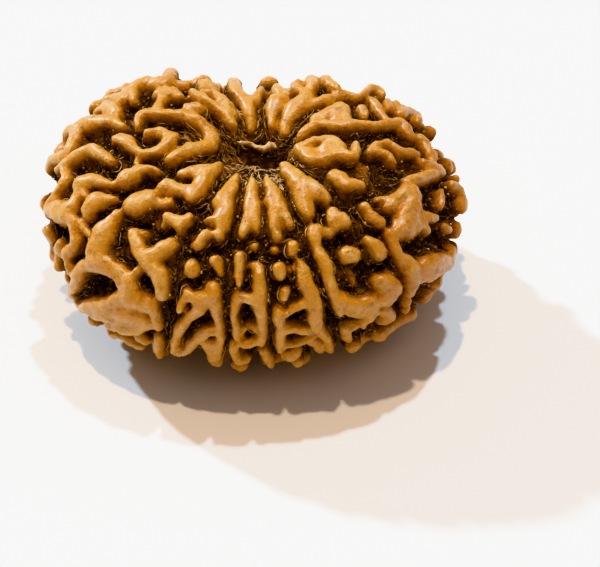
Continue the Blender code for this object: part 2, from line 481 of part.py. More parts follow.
def hidden_ridges(tree, drawn):
    """Petals, knobs and links for the sides that the photograph doesn't show."""
    draw = random.Random(HIDDEN_SEED)
    petals = lower_petals()
    taken = [station[0] for stations in drawn + petals for station in thickened(stations)]
    knobs = spread_knobs(tree, taken, draw)
    ridges = []
    joined = [0] * len(knobs)
    for i, knob in enumerate(knobs):
        near = sorted(
            ((knob[0] - other[0]).length, j) for j, other in enumerate(knobs)
            if j > i and other[3] == knob[3] and (knob[0] - other[0]).length < HIDDEN_LINK_REACH
        )
        for _, j in near[:2]:
            if joined[i] < 2 and joined[j] < 2 and draw.random() < 0.7:
                ridges.append(link_between(tree, knob, knobs[j], draw))
                joined[i] += 1
                joined[j] += 1
    loose = [[knob[:3]] for i, knob in enumerate(knobs) if joined[i] == 0]
    return petals + ridges + loose


def spline(values, t):
    """A Catmull-Rom curve through four values, at t from 0 to 1 between the two middle ones."""
    before, start, end, after = values
    return 0.5 * (
        start * 2
        + (end - before) * t
        + (before * 2 - start * 5 + end * 4 - after) * t * t
        + (start * 3 - before - end * 3 + after) * t * t * t
    )


def thickened(stations):
    """The stations with smooth ones put between them, about STATION_STEP apart."""
    if len(stations) == 1:
        return stations
    ends = [stations[0], *stations, stations[-1]]
    filled = []
    for i in range(1, len(ends) - 2):
        four = ends[i - 1:i + 3]
        steps = max(1, round((four[2][0] - four[1][0]).length / STATION_STEP))
        for step in range(steps):
            place, half_width, drop = (spline([s[k] for s in four], step / steps) for k in range(3))
            filled.append((place, max(half_width, LEAST_WIDTH), drop))
    filled.append(stations[-1])
    return filled


def ridge_height(distance, half_width, drop):
    """The height of a ridge against the crest form: a round crown, then steep walls. Wide ridges stand taller."""
    crown = np.minimum(half_width * 0.95, ROUND_HEIGHT)
    rise = np.clip((half_width - TALL_WIDTH) * TALL_RISE, -MOST_RISE, MOST_RISE)
    inside = np.sqrt(np.clip(1 - (distance / half_width) ** 2, 0, 1))
    wall = np.clip(distance - half_width, 0, None) * WALL_SLOPE
    return rise - drop - crown * (1 - inside) - wall


def stretch_height(places, first, second):
    """The height at each place of the stretch of ridge between two stations."""
    start, end = np.array(first[0]), np.array(second[0])
    span = end - start
    length = max(float(span @ span), 1e-12)
    along = np.clip((places - start) @ span / length, 0, 1)
    distance = np.linalg.norm(places - start - along[:, None] * span, axis=1)
    half_width = first[1] + (second[1] - first[1]) * along
    drop = first[2] + (second[2] - first[2]) * along
    return ridge_height(distance, half_width, drop)


def soft_larger(first, second):
    """The larger of two heights, with a fillet where they are nearly equal."""
    overlap = np.clip(JOIN_SOFTNESS - np.abs(first - second), 0, None)
    return np.maximum(first, second) + overlap ** 2 / (4 * JOIN_SOFTNESS)


def relief(places, normals, ridges):
    """The height of the surface against the crest form at each place, in metres."""
    across = np.hypot(places[:, 0], places[:, 1])
    height = -BELT_FLOOR + (BELT_FLOOR - CROWN_FLOOR) * np.abs(normals[:, 2])
    height -= HOLE_DEPTH * np.exp(-((across / HOLE_SPREAD) ** 2))
    finder = KDTree(len(places))
    for index, place in enumerate(places):
        finder.insert(place, index)
    finder.balance()
    for stations in ridges:
        filled = thickened(stations)
        ridge = np.full(len(places), -1.0)
        for first, second in zip(filled, filled[1:] or filled):
            reach = max(first[1], second[1]) + 2 * BELT_FLOOR / WALL_SLOPE + STATION_STEP
            near = np.array([found[1] for found in finder.find_range(first[0], reach)], dtype=int)
            ridge[near] = np.maximum(ridge[near], stretch_height(places[near], first, second))
        height = soft_larger(height, ridge)
    return height


def seed_surface():
    """The seed as one closed surface before it is evened out."""
    mesh = crest_mesh()
    tree = BVHTree.FromBMesh(mesh)
    drawn = drawn_ridges(tree)
    places = np.array([vertex.co for vertex in mesh.verts])
    normals = np.array([vertex.normal for vertex in mesh.verts])
    moved = places + normals * relief(places, normals, drawn + hidden_ridges(tree, drawn))[:, None]
    for vertex, place in zip(mesh.verts, moved):
        vertex.co = place
    data = bpy.data.meshes.new("seed_surface")
    mesh.to_mesh(data)
    mesh.free()
    return data


def settled(obj, name):
    """A plain mesh of the object as its modifiers leave it."""
    graph = bpy.context.evaluated_depsgraph_get()
    data = bpy.data.meshes.new_from_object(obj.evaluated_get(graph), depsgraph=graph)
    data.name = name
    return data


def wood_material():
    """Waxy golden brown shell."""
    material = bpy.data.materials.new("seed_shell")
    material.use_nodes = True
    shader = material.node_tree.nodes["Principled BSDF"]
    shader.inputs["Base Color"].default_value = SEED_COLOUR
    shader.inputs["Roughness"].default_value = 0.4
    shader.inputs["Metallic"].default_value = 0.0
    return material


def rest_plane(collection):
    """The block under the seed that cuts its lowest ridges flat."""
    mesh = bmesh.new()
    bmesh.ops.create_cube(mesh, size=1.0)
    bmesh.ops.scale(mesh, vec=REST_BLOCK, verts=mesh.verts)
    bmesh.ops.translate(mesh, vec=(0, 0, -REST_BLOCK[2] / 2), verts=mesh.verts)
    data = bpy.data.meshes.new("rest_plane")
    mesh.to_mesh(data)
    mesh.free()
    block = bpy.data.objects.new("rest_plane", data)
    collection.objects.link(block)
    block.hide_render = True
    block.display_type = "WIRE"
    return block


def main():
    for obj in list(bpy.data.objects):
        bpy.data.objects.remove(obj)
    collection = bpy.data.collections.new("rudraksha_seed")
    bpy.context.scene.collection.children.link(collection)
    seed = bpy.data.objects.new("seed", seed_surface())
    collection.objects.link(seed)

    fuse = seed.modifiers.new("fuse", "REMESH")
    fuse.mode = "VOXEL"
    fuse.voxel_size = VOXEL
    melt = seed.modifiers.new("melt", "SMOOTH")
    melt.factor = 0.5
    melt.iterations = MELT_ROUNDS
    seed.data = settled(seed, "seed_fused")
    seed.modifiers.clear()

    thin = seed.modifiers.new("thin", "DECIMATE")
    thin.ratio = MOST_TRIANGLES / (2 * len(seed.data.polygons))
    thin.use_collapse_triangulate = True
    seed.data = settled(seed, "seed_thinned")
    seed.modifiers.clear()
    seed.data.shade_smooth()

    corners = np.array([vertex.co for vertex in seed.data.vertices])
    low = corners.min(axis=0)
    middle = (low + corners.max(axis=0)) / 2
    seed.data.transform(Matrix.Translation((-middle[0], -middle[1], -low[2] - FOOT_CUT)))

    cutters = bpy.data.collections.new("cutters")
    bpy.context.scene.collection.children.link(cutters)
    foot = seed.modifiers.new("foot", "BOOLEAN")
    foot.operation = "DIFFERENCE"
    foot.solver = "EXACT"
    foot.object = rest_plane(cutters)
    seed.data.materials.append(wood_material())


main()
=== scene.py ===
"""A rudraksha seed on a pale floor: its ridged shell, the dried fibres in its grooves, its light and camera.

The shell repeats the drawn ridges and the hidden rule of the part's source with finer detail, and stands for
the node `seed`. Metres, +Z up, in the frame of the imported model. Places in the form's own frame, whose origin
is the middle of the crest form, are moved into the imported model's frame at the end.
"""

import json
import logging
import math
import random
from dataclasses import dataclass, field
from enum import Enum

import bmesh
import bpy
import numpy as np
from mathutils import Matrix, Vector, noise
from mathutils.bvhtree import BVHTree
from mathutils.kdtree import KDTree

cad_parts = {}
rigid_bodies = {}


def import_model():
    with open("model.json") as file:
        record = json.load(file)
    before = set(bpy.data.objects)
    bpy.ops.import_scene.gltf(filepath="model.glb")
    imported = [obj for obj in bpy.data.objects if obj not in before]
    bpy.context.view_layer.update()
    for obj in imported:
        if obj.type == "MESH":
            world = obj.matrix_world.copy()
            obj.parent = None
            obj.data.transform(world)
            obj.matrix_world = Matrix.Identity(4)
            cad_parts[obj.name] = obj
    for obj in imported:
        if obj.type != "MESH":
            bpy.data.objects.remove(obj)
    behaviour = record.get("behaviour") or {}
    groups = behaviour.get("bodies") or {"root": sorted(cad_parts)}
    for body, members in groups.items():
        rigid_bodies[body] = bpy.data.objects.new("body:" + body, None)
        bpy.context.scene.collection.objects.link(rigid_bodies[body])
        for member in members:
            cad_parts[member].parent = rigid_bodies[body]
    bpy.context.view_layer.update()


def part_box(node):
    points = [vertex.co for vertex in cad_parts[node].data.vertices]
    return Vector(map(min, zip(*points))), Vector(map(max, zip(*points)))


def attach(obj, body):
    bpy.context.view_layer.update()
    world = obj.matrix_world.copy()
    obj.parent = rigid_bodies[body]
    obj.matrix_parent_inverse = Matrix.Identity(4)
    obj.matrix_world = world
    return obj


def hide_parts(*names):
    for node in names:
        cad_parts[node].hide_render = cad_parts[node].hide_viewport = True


LOG = logging.getLogger("seed")
MM = 0.001
PICTURE_SIDE = 600
NOISE_SEED = 11
TINY = 1e-12
UP = Vector((0, 0, 1))

# Ridges drawn over the photograph. Each is a line of points (x, y, half width): x and y are pixels of the
# picture and the half width is in millimetres. A number ahead of the points is how far, in millimetres, the
# ridge's top stays under the crest form.
CROWN = {
    "front left petal": [(237, 172, 0.18), (233, 180, 0.4), (228, 190, 0.7), (223, 200, 0.92),
                         (224, 208, 0.76), (223, 217, 0.78), (222, 224, 0.6)],
    "front left spur": [(219, 217, 0.7), (212, 219, 0.42), (206, 218, 0.18)],
    "front left toe": [(206, 232, 0.34), (201, 238, 0.42), (197, 243, 0.45)],
    "front left heel": [(217, 232, 0.38), (219, 236, 0.36)],
    "front petal": [(252, 175, 0.15), (252, 184, 0.36), (251, 192, 0.54), (252, 201, 0.7), (252, 210, 0.72),
                    (250, 218, 0.62), (245, 226, 0.38), (242, 234, 0.22)],
    "front petal toe": [(254, 219, 0.5), (256, 228, 0.32)],
    "front right petal": [(266, 176, 0.2), (269, 183, 0.42), (273, 191, 0.68), (276, 200, 0.85),
                          (277, 207, 0.8), (275, 215, 0.56), (275, 225, 0.46), (277, 235, 0.36)],
    "front right branch": [(281, 208, 0.55), (287, 216, 0.36), (291, 223, 0.32)],
    "right fork": [(284, 164, 0.42), (291, 171, 0.7), (298, 179, 0.88), (303, 186, 0.92)],
    "right fork upper arm": [(304, 182, 0.8), (313, 186, 0.78), (320, 192, 0.66), (326, 196, 0.45)],
    "right fork lower arm": [(301, 191, 0.85), (304, 200, 0.84), (307, 207, 0.7), (308, 212, 0.52)],
    "kidney upper rim": [(300, 145, 0.45), (310, 140, 0.42), (322, 138, 0.42), (334, 139, 0.47),
                         (341, 145, 0.5)],
    "kidney lower rim": [(297, 148, 0.42), (304, 151, 0.5), (313, 156, 0.58), (323, 157, 0.58),
                         (331, 153, 0.6), (340, 152, 0.6), (349, 154, 0.58), (354, 154, 0.48)],
    "kidney middle": [0.35, (311, 148, 0.6), (320, 148, 0.7)],
    "kidney plate": [0.08, (326, 147, 0.8), (334, 148, 0.8)],
    "long bar": [(298, 135, 0.26), (304, 129, 0.36), (312, 124, 0.4), (322, 122, 0.42), (334, 123, 0.44),
                 (346, 123, 0.46), (358, 122, 0.44), (370, 123, 0.4), (382, 123, 0.45), (393, 121, 0.65),
                 (401, 122, 0.8), (407, 128, 0.62), (413, 135, 0.4)],
    "long bar plate": [0.08, (314, 118, 0.42), (325, 113, 0.62), (335, 108, 0.78), (342, 105, 0.75),
                       (345, 112, 0.65), (346, 117, 0.6), (338, 116, 0.7)],
    "back wedge": [(283, 130, 0.32), (286, 120, 0.58), (292, 111, 0.9), (299, 103, 1.1), (306, 96, 0.85),
                   (308, 89, 0.45)],
    "back wedge arm": [(297, 109, 0.6), (308, 104, 0.5), (321, 99, 0.44), (334, 95, 0.42), (346, 93, 0.44),
                       (356, 95, 0.42)],
    "back petal": [(270, 124, 0.3), (271, 114, 0.5), (274, 104, 0.78), (279, 97, 0.92)],
    "back petal peaks": [(276, 84, 0.45), (278, 90, 0.5), (286, 90, 0.4)],
    "back fork": [(251, 127, 0.2), (251, 118, 0.35), (249, 108, 0.52), (248, 101, 0.68)],
    "back fork left arm": [(244, 98, 0.6), (239, 90, 0.58), (235, 83, 0.55), (233, 79, 0.4)],
    "back fork right arm": [(254, 99, 0.5), (257, 93, 0.42), (262, 87, 0.3)],
    "back left bar": [(234, 123, 0.42), (228, 114, 0.55), (219, 107, 0.45), (209, 100, 0.45), (199, 94, 0.5),
                      (193, 90, 0.4)],
    "back left blade": [(233, 113, 0.5), (227, 103, 0.52), (221, 96, 0.58), (215, 92, 0.4)],
    "hairpin": [(137, 123, 0.3), (138, 114, 0.38), (147, 111, 0.48), (160, 111, 0.52), (173, 112, 0.48),
                (186, 114, 0.52), (198, 118, 0.52), (207, 125, 0.55), (213, 134, 0.62), (211, 142, 0.66),
                (203, 145, 0.72), (192, 147, 0.76), (181, 152, 0.7), (171, 157, 0.56)],
    "hairpin inner bar": [(146, 131, 0.38), (153, 129, 0.48), (162, 131, 0.55), (171, 134, 0.6),
                          (176, 134, 0.4)],
    "hairpin inner tail": [(170, 139, 0.75), (164, 144, 0.6), (156, 149, 0.4), (147, 151, 0.38)],
    "left fork": [(220, 163, 0.3), (214, 167, 0.62), (206, 173, 0.8), (201, 182, 0.8), (196, 189, 0.85),
                  (192, 194, 0.66)],
    "left fork arm": [(206, 168, 0.8), (197, 169, 0.68), (187, 171, 0.5), (179, 173, 0.25)],
    "left fork knob": [(188, 188, 0.55), (180, 188, 0.5), (172, 186, 0.72), (165, 184, 0.75)],
    "left fork foot": [0.25, (168, 199, 0.36), (162, 200, 0.42), (156, 201, 0.38)],
}

LEFT = {
    "bean": [(114, 137, 0.42), (120, 136, 0.6), (126, 140, 0.58), (132, 146, 0.42), (140, 151, 0.3),
             (148, 151, 0.3)],
    "bean link": [0.5, (139, 152, 0.3), (134, 157, 0.3), (137, 163, 0.4)],
    "big ball": [(132, 205, 1.0), (140, 201, 1.15), (148, 197, 0.9)],
    "second ball": [(131, 174, 0.8), (126, 177, 0.95), (118, 181, 0.5), (110, 183, 0.32)],
    "second ball spike": [(138, 166, 0.5), (147, 166, 0.35), (157, 169, 0.2)],
    "third ball": [(77, 183, 0.72), (84, 180, 0.85), (93, 179, 0.65), (101, 181, 0.42), (108, 183, 0.3)],
    "third ball foot": [(77, 189, 0.45), (82, 194, 0.36)],
    "fourth ball": [(86, 213, 0.6), (88, 206, 0.84), (94, 200, 0.92), (102, 198, 0.58), (111, 198, 0.3)],
    "arch": [(62, 168, 0.35), (64, 161, 0.48), (69, 158, 0.5), (77, 153, 0.55), (86, 148, 0.58),
             (96, 150, 0.58), (104, 155, 0.5), (110, 159, 0.38)],
    "arch foot": [(62, 170, 0.35), (64, 177, 0.5), (61, 182, 0.45)],
    "arch toe": [(55, 169, 0.4), (60, 164, 0.35)],
    "hood": [(122, 125, 0.35), (113, 120, 0.55), (103, 119, 0.72), (93, 121, 0.95), (84, 123, 1.0),
             (77, 127, 0.95), (73, 136, 0.72), (69, 146, 0.55), (64, 153, 0.5), (56, 157, 0.68),
             (50, 161, 0.72), (47, 168, 0.62)],
    "hood knob": [0.3, (57, 146, 0.5)],
    "upper lobe": [(105, 103, 0.6), (110, 107, 0.8), (115, 111, 0.6)],
    "upper lobe back": [(107, 97, 0.42), (116, 95, 0.42), (124, 98, 0.4)],
    "upper lobe lip": [(94, 111, 0.3), (99, 108, 0.4)],
    "shoulder knob": [-0.2, (126, 87, 0.42), (127, 94, 0.4), (123, 99, 0.38)],
    "shoulder arch": [-0.25, (134, 100, 0.4), (133, 92, 0.5), (138, 85, 0.62), (147, 81, 0.6),
                      (155, 83, 0.52), (159, 88, 0.33)],
    "top block": [-0.45, (149, 73, 0.5), (157, 71, 0.6), (166, 70, 0.65), (171, 75, 0.55), (170, 82, 0.4)],
    "top block side": [(178, 83, 0.5), (186, 83, 0.42)],
    "nose": [-0.1, (156, 93, 0.38), (163, 92, 0.55), (171, 91, 0.66), (179, 95, 0.5)],
    "nose leg": [(161, 98, 0.5), (157, 105, 0.42)],
    "grain": [(187, 106, 0.4), (195, 105, 0.55), (201, 107, 0.36)],
    "back tooth": [(207, 75, 0.45), (206, 82, 0.75), (209, 90, 0.7)],
    "back tooth side": [(218, 83, 0.3), (217, 89, 0.36)],
    "wall rim": [(58, 187, 0.38), (53, 193, 0.42), (49, 201, 0.45), (45, 210, 0.48)],
    "wall slab": [(46, 211, 0.6), (53, 209, 0.8), (61, 209, 0.92), (68, 208, 0.85), (72, 203, 0.6),
                  (73, 197, 0.4)],
    "wall slab foot": [(56, 215, 0.65), (65, 217, 0.7), (71, 221, 0.5), (71, 230, 0.38), (73, 240, 0.36)],
    "wall column": [(73, 240, 0.36), (71, 249, 0.45), (64, 253, 0.55), (65, 262, 0.45), (68, 272, 0.42)],
    "wall splinter": [0.4, (78, 220, 0.42), (80, 228, 0.36), (83, 233, 0.32)],
    "far wall": [0.3, (54, 246, 0.5), (52, 252, 0.45), (58, 257, 0.4)],
}

LOWER_LEFT = {
    "fin": [(115, 213, 0.45), (110, 221, 0.7), (104, 230, 0.95), (98, 240, 1.2), (95, 250, 1.3),
            (96, 259, 1.1)],
    "fin right root": [(103, 261, 0.7), (112, 267, 0.5), (121, 274, 0.45), (128, 282, 0.6)],
    "pit rim left": [(90, 265, 0.6), (80, 268, 0.6), (75, 277, 0.65), (72, 288, 0.5), (69, 298, 0.45),
                     (74, 306, 0.55)],
    "pit rim top": [(92, 267, 0.6), (102, 269, 0.55), (112, 275, 0.45), (119, 284, 0.5)],
    "pit rim bottom": [(74, 306, 0.55), (85, 308, 0.6), (97, 307, 0.6), (109, 305, 0.65), (119, 299, 0.7),
                       (127, 291, 0.8)],
    "plate": [0.1, (127, 301, 1.0), (138, 304, 1.0), (148, 307, 0.8)],
    "plate bridge": [(128, 282, 0.7), (129, 292, 0.8)],
    "small pit rim": [(132, 276, 0.4), (136, 270, 0.3)],
    "plate lower": [0.1, (92, 316, 0.7), (104, 316, 0.9), (117, 317, 1.0), (129, 318, 1.0), (140, 321, 0.8)],
    "plate edge": [(118, 328, 0.7), (129, 331, 0.7), (139, 329, 0.6), (149, 326, 0.42)],
    "under knob one": [(90, 322, 0.5), (94, 328, 0.55)],
    "under knob two": [(108, 326, 0.5), (113, 331, 0.4)],
    "under knob three": [(138, 340, 0.4), (145, 344, 0.42)],
    "left arm": [(131, 232, 0.5), (134, 242, 0.6), (138, 252, 0.62), (144, 259, 0.72)],
    "left arm cap": [0.5, (132, 231, 0.4), (141, 230, 0.35)],
    "right arm": [(148, 257, 0.8), (157, 252, 0.78), (165, 247, 0.75), (170, 243, 0.55)],
    "leg": [(147, 263, 0.8), (154, 270, 0.8), (159, 279, 0.78), (161, 289, 0.65), (160, 297, 0.5)],
    "saddle": [(166, 216, 0.4), (172, 219, 0.52), (179, 221, 0.62), (185, 218, 0.45), (189, 214, 0.3)],
    "saddle foot": [(179, 222, 0.55), (179, 228, 0.36)],
    "saddle tail": [0.4, (166, 218, 0.38), (161, 223, 0.3)],
    "column top": [(153, 313, 0.38), (155, 322, 0.36), (157, 330, 0.28)],
    "column foot": [(157, 340, 0.38), (157, 350, 0.42), (159, 358, 0.4)],
}

FRONT = {
    "bead": [(190, 266, 0.6), (190, 271, 0.62)],
    "drop": [(215, 261, 0.5), (217, 267, 0.38), (220, 274, 0.22)],
    "first block rail": [(212, 289, 0.62), (213, 299, 0.64), (215, 309, 0.5), (217, 320, 0.37),
                         (219, 332, 0.34), (220, 344, 0.3)],
    "first block bridge": [(207, 298, 0.55), (197, 300, 0.55), (188, 298, 0.4), (184, 293, 0.32)],
    "first block leg": [(184, 298, 0.34), (181, 305, 0.33), (179, 312, 0.28)],
    "first block left side": [(201, 306, 0.5), (196, 313, 0.42), (189, 320, 0.38), (183, 326, 0.38),
                              (177, 335, 0.42), (174, 345, 0.36), (173, 353, 0.32)],
    "first block sill": [(175, 356, 0.34), (184, 354, 0.34), (192, 346, 0.38), (199, 339, 0.42),
                         (206, 334, 0.45), (214, 333, 0.42)],
    "first block tip": [(218, 345, 0.38), (218, 352, 0.36)],
    "first block tooth": [(204, 344, 0.32), (208, 353, 0.4), (212, 362, 0.4), (216, 369, 0.32)],
    "first block tooth side": [(213, 346, 0.4), (217, 358, 0.4), (218, 366, 0.32)],
    "second block splinter": [(239, 256, 0.38), (239, 266, 0.33), (239, 276, 0.32), (239, 286, 0.16)],
    "second block knob": [0.35, (254, 265, 0.4), (258, 267, 0.42)],
    "second block right rail": [(258, 275, 0.4), (259, 285, 0.5), (260, 296, 0.55), (260, 308, 0.5),
                                (261, 320, 0.45), (262, 332, 0.36), (262, 346, 0.32)],
    "second block left rail": [(238, 297, 0.38), (235, 306, 0.4), (234, 316, 0.34), (235, 327, 0.34),
                               (237, 340, 0.3)],
    "second block lintel": [(241, 298, 0.38), (249, 300, 0.38), (257, 302, 0.5)],
    "second block sill": [(242, 346, 0.3), (249, 347, 0.33), (256, 345, 0.3)],
    "second block inner arch": [0.4, (242, 340, 0.24), (245, 333, 0.24), (250, 330, 0.26), (254, 336, 0.24)],
    "second block foot": [(234, 348, 0.3), (234, 356, 0.34), (238, 363, 0.4), (246, 363, 0.42)],
    "second block tooth": [(263, 354, 0.32), (267, 361, 0.38), (271, 367, 0.34)],
    "seed bead one": [0.2, (254, 245, 0.36)],
    "seed bead two": [0.6, (275, 248, 0.36)],
    "seed bead three": [(293, 244, 0.5), (293, 250, 0.44)],
    "third block knob": [(279, 267, 0.55), (280, 274, 0.5)],
    "third block knob link": [0.8, (286, 269, 0.36), (295, 268, 0.3)],
    "third block bead": [0.2, (286, 293, 0.42), (284, 299, 0.42)],
    "third block long rail": [(300, 262, 0.3), (304, 270, 0.5), (306, 280, 0.58), (309, 290, 0.58),
                              (313, 300, 0.6), (316, 311, 0.66), (317, 321, 0.7), (317, 327, 0.58)],
    "third block left rail": [(278, 313, 0.44), (279, 322, 0.44), (281, 331, 0.38), (280, 341, 0.38),
                              (281, 351, 0.38)],
    "third block lintel": [(281, 318, 0.4), (288, 315, 0.32), (295, 310, 0.3), (303, 306, 0.34)],
    "third block sill": [(284, 332, 0.4), (295, 332, 0.42), (306, 333, 0.4), (316, 333, 0.33)],
    "third block lip": [0.2, (289, 350, 0.26), (298, 348, 0.26), (307, 345, 0.26), (315, 341, 0.26)],
    "third block lower rail": [(322, 333, 0.38), (327, 341, 0.38), (331, 350, 0.4), (335, 358, 0.38),
                               (338, 363, 0.3)],
    "third block foot": [(286, 358, 0.45), (291, 360, 0.5), (298, 355, 0.4)],
    "third block plate": [0.3, (313, 347, 0.42), (320, 353, 0.45), (327, 360, 0.36)],
}

RIGHT = {
    "hook": [(316, 227, 0.55), (315, 235, 0.55), (317, 245, 0.34)],
    "hook link": [0.35, (323, 228, 0.36), (331, 231, 0.32)],
    "twin knob": [(334, 210, 0.5), (335, 217, 0.62), (337, 224, 0.45)],
    "twin knob side": [(343, 215, 0.44), (347, 222, 0.42)],
    "fourth block rail": [(318, 250, 0.3), (323, 257, 0.55), (326, 266, 0.55), (329, 276, 0.5),
                          (332, 286, 0.5), (335, 296, 0.45), (338, 306, 0.38), (341, 317, 0.24)],
    "round bead": [(348, 255, 0.68), (355, 254, 0.66)],
    "oblong": [(370, 240, 0.52), (377, 247, 0.7), (382, 254, 0.65)],
    "kidney neighbour": [(334, 173, 0.5), (341, 176, 0.76), (346, 182, 0.74), (354, 182, 0.52),
                         (362, 183, 0.4)],
    "ochre heap": [1.0, (367, 158, 0.5), (365, 166, 0.65), (369, 174, 0.5)],
    "twin bean": [(366, 205, 0.46), (370, 210, 0.3), (376, 217, 0.52), (382, 221, 0.46)],
    "big knob": [(380, 282, 0.6), (388, 286, 1.1), (393, 293, 1.1), (388, 300, 1.0)],
    "big knob rim": [(379, 303, 0.75), (368, 304, 0.62), (358, 308, 0.6), (350, 304, 0.55), (342, 298, 0.42)],
    "inner tooth": [0.7, (351, 272, 0.3), (356, 279, 0.34), (358, 286, 0.26)],
    "inner shelf": [1.2, (343, 274, 0.6), (350, 282, 0.5)],
    "lower plate": [0.2, (353, 313, 0.7), (364, 314, 0.8), (376, 316, 0.65), (371, 323, 0.5)],
    "lower tooth": [(346, 330, 0.36), (348, 338, 0.4), (350, 342, 0.3)],
    "lower ring": [0.2, (356, 331, 0.4), (362, 327, 0.4), (366, 331, 0.36)],
    "lower round": [0.2, (387, 314, 0.65), (393, 320, 0.6), (386, 325, 0.55)],
    "column": [(391, 233, 0.48), (395, 242, 0.46), (399, 251, 0.42), (405, 260, 0.62), (411, 267, 0.9),
               (414, 277, 0.82), (414, 287, 0.7), (412, 295, 0.5)],
    "column tail": [(410, 303, 0.4), (408, 312, 0.34)],
    "slab top arm": [(410, 180, 0.45), (418, 178, 0.5), (427, 175, 0.55), (437, 172, 0.58), (444, 170, 0.4)],
    "slab": [(391, 205, 0.5), (398, 199, 0.65), (406, 193, 0.8), (412, 190, 0.98), (413, 201, 1.1),
             (410, 211, 1.1), (406, 221, 1.1), (401, 231, 0.75)],
    "slab lower": [0.1, (415, 215, 0.8), (417, 225, 0.75), (411, 232, 0.6)],
    "slab point": [(424, 216, 0.55), (431, 216, 0.5), (438, 217, 0.34)],
    "slab point lower": [0.2, (426, 224, 0.5), (431, 230, 0.42)],
    "slab spur": [0.3, (393, 196, 0.45), (385, 195, 0.3), (378, 197, 0.2)],
    "pit column": [-0.1, (442, 191, 0.34), (443, 198, 0.36), (443, 205, 0.3)],
    "far knob": [-0.45, (450, 186, 0.38), (456, 192, 0.45), (459, 201, 0.62), (459, 208, 0.58)],
    "far upper knob": [-0.35, (455, 180, 0.5)],
    "far lower knob": [0.3, (451, 226, 0.38), (455, 231, 0.45)],
    "lower lobe": [-0.15, (424, 267, 0.75), (434, 265, 1.05), (444, 265, 0.95), (451, 259, 0.6),
                   (453, 250, 0.4)],
    "lower lobe foot": [(424, 278, 0.62), (433, 276, 0.75), (442, 272, 0.6)],
    "wave": [(371, 150, 0.26), (379, 143, 0.43), (388, 141, 0.5), (395, 145, 0.48), (402, 150, 0.42),
             (411, 151, 0.42), (419, 152, 0.36)],
    "wave inner": [0.12, (378, 149, 0.45), (386, 151, 0.45), (392, 156, 0.36), (396, 160, 0.25)],
    "small pillar": [(356, 142, 0.34), (357, 149, 0.38)],
    "rim lobe": [(421, 137, 0.5), (427, 143, 0.66), (431, 150, 0.55), (434, 157, 0.4)],
    "rim lobe back": [0.4, (439, 150, 0.4), (441, 156, 0.3)],
    "rim bar": [(425, 161, 0.4), (434, 164, 0.48), (442, 167, 0.45)],
    "shoulder hump": [-0.3, (363, 95, 0.35), (370, 91, 0.45), (377, 91, 0.48), (383, 96, 0.38)],
    "finger": [(373, 99, 0.42), (378, 104, 0.4), (383, 111, 0.36), (387, 118, 0.28)],
    "ochre knob": [0.15, (363, 106, 0.5), (366, 112, 0.42)],
    "edge knob one": [-0.2, (388, 102, 0.42), (390, 109, 0.4)],
    "edge knob two": [-0.2, (396, 104, 0.45), (401, 110, 0.42)],
    "edge knob three": [-0.2, (406, 106, 0.5), (411, 112, 0.5), (417, 116, 0.52), (418, 122, 0.4)],
    "back knob one": [-0.4, (312, 82, 0.6), (314, 88, 0.46)],
    "back knob two": [-0.4, (325, 81, 0.5), (330, 85, 0.5), (335, 90, 0.45)],
    "back knob three": [-0.3, (297, 85, 0.6), (296, 90, 0.46)],
}

Stations = list[tuple]
Socket = bpy.types.NodeSocket
Value = bpy.types.NodeSocket | float
Colour = bpy.types.NodeSocket | tuple


def signed_power(value: float, power: float) -> float:
    """value to a power, keeping its sign."""
    return math.copysign(abs(value) ** power, value)


def ripples(places: np.ndarray, size: float, shift: float) -> np.ndarray:
    """Smooth lumps, about -0.7 to 0.7.

    Args:
        places: points, one row each, in metres.
        size: the length of one lump, in metres.
        shift: moves the pattern, so that several differ.

    Returns:
        One height for each place.
    """
    return np.array([noise.noise(place) for place in (places / size + shift).tolist()])


def swirls(places: np.ndarray, size: float) -> np.ndarray:
    """Smooth directions, a row for each place, that turn over a length of size metres."""
    return np.array([noise.noise_vector(place) for place in (places / size).tolist()])


def spline(values: list, t: float) -> Vector | float:
    """A Catmull-Rom curve through four values.

    Args:
        values: four places or four numbers.
        t: from 0 to 1, how far to go from the second value to the third.

    Returns:
        The place or number there.
    """
    before, start, end, after = values
    return 0.5 * (
        start * 2
        + (end - before) * t
        + (before * 2 - start * 5 + end * 4 - after) * t * t
        + (start * 3 - before - end * 3 + after) * t * t * t
    )


def finder_of(places: np.ndarray | list[Vector]) -> KDTree:
    """A finder of the nearest of the places, numbered in their order."""
    finder = KDTree(len(places))
    for index, place in enumerate(places):
        finder.insert(place, index)
    finder.balance()
    return finder


def linked(name: str, data: bpy.types.ID) -> bpy.types.Object:
    """An object of the data, linked to the scene."""
    obj = bpy.data.objects.new(name, data)
    bpy.context.scene.collection.objects.link(obj)
    return obj


def plain_mesh(mesh: bmesh.types.BMesh, name: str) -> bpy.types.Mesh:
    """Turns a bmesh into mesh data and frees it."""
    data = bpy.data.meshes.new(name)
    mesh.to_mesh(data)
    mesh.free()
    return data


def settled(obj: bpy.types.Object, name: str) -> bpy.types.Mesh:
    """A plain mesh of the object as its modifiers leave it."""
    graph = bpy.context.evaluated_depsgraph_get()
    data = bpy.data.meshes.new_from_object(obj.evaluated_get(graph), depsgraph=graph)
    data.name = name
    return data


def copies(template: bpy.types.Mesh, count: int) -> bpy.types.Mesh:
    """Copies a mesh many times in a row.

    Args:
        template: the mesh, whose name the new one takes.
        count: how many copies there are.

    Returns:
        One mesh of all the copies, whose vertices follow each other copy by copy.
    """
    holder = linked(template.name, template)
    row = holder.modifiers.new("row", "ARRAY")
    row.count = count
    row.use_relative_offset = False
    row.use_constant_offset = True
    row.constant_offset_displace = (10, 0, 0)
    data = settled(holder, template.name)
    bpy.data.objects.remove(holder)
    return data


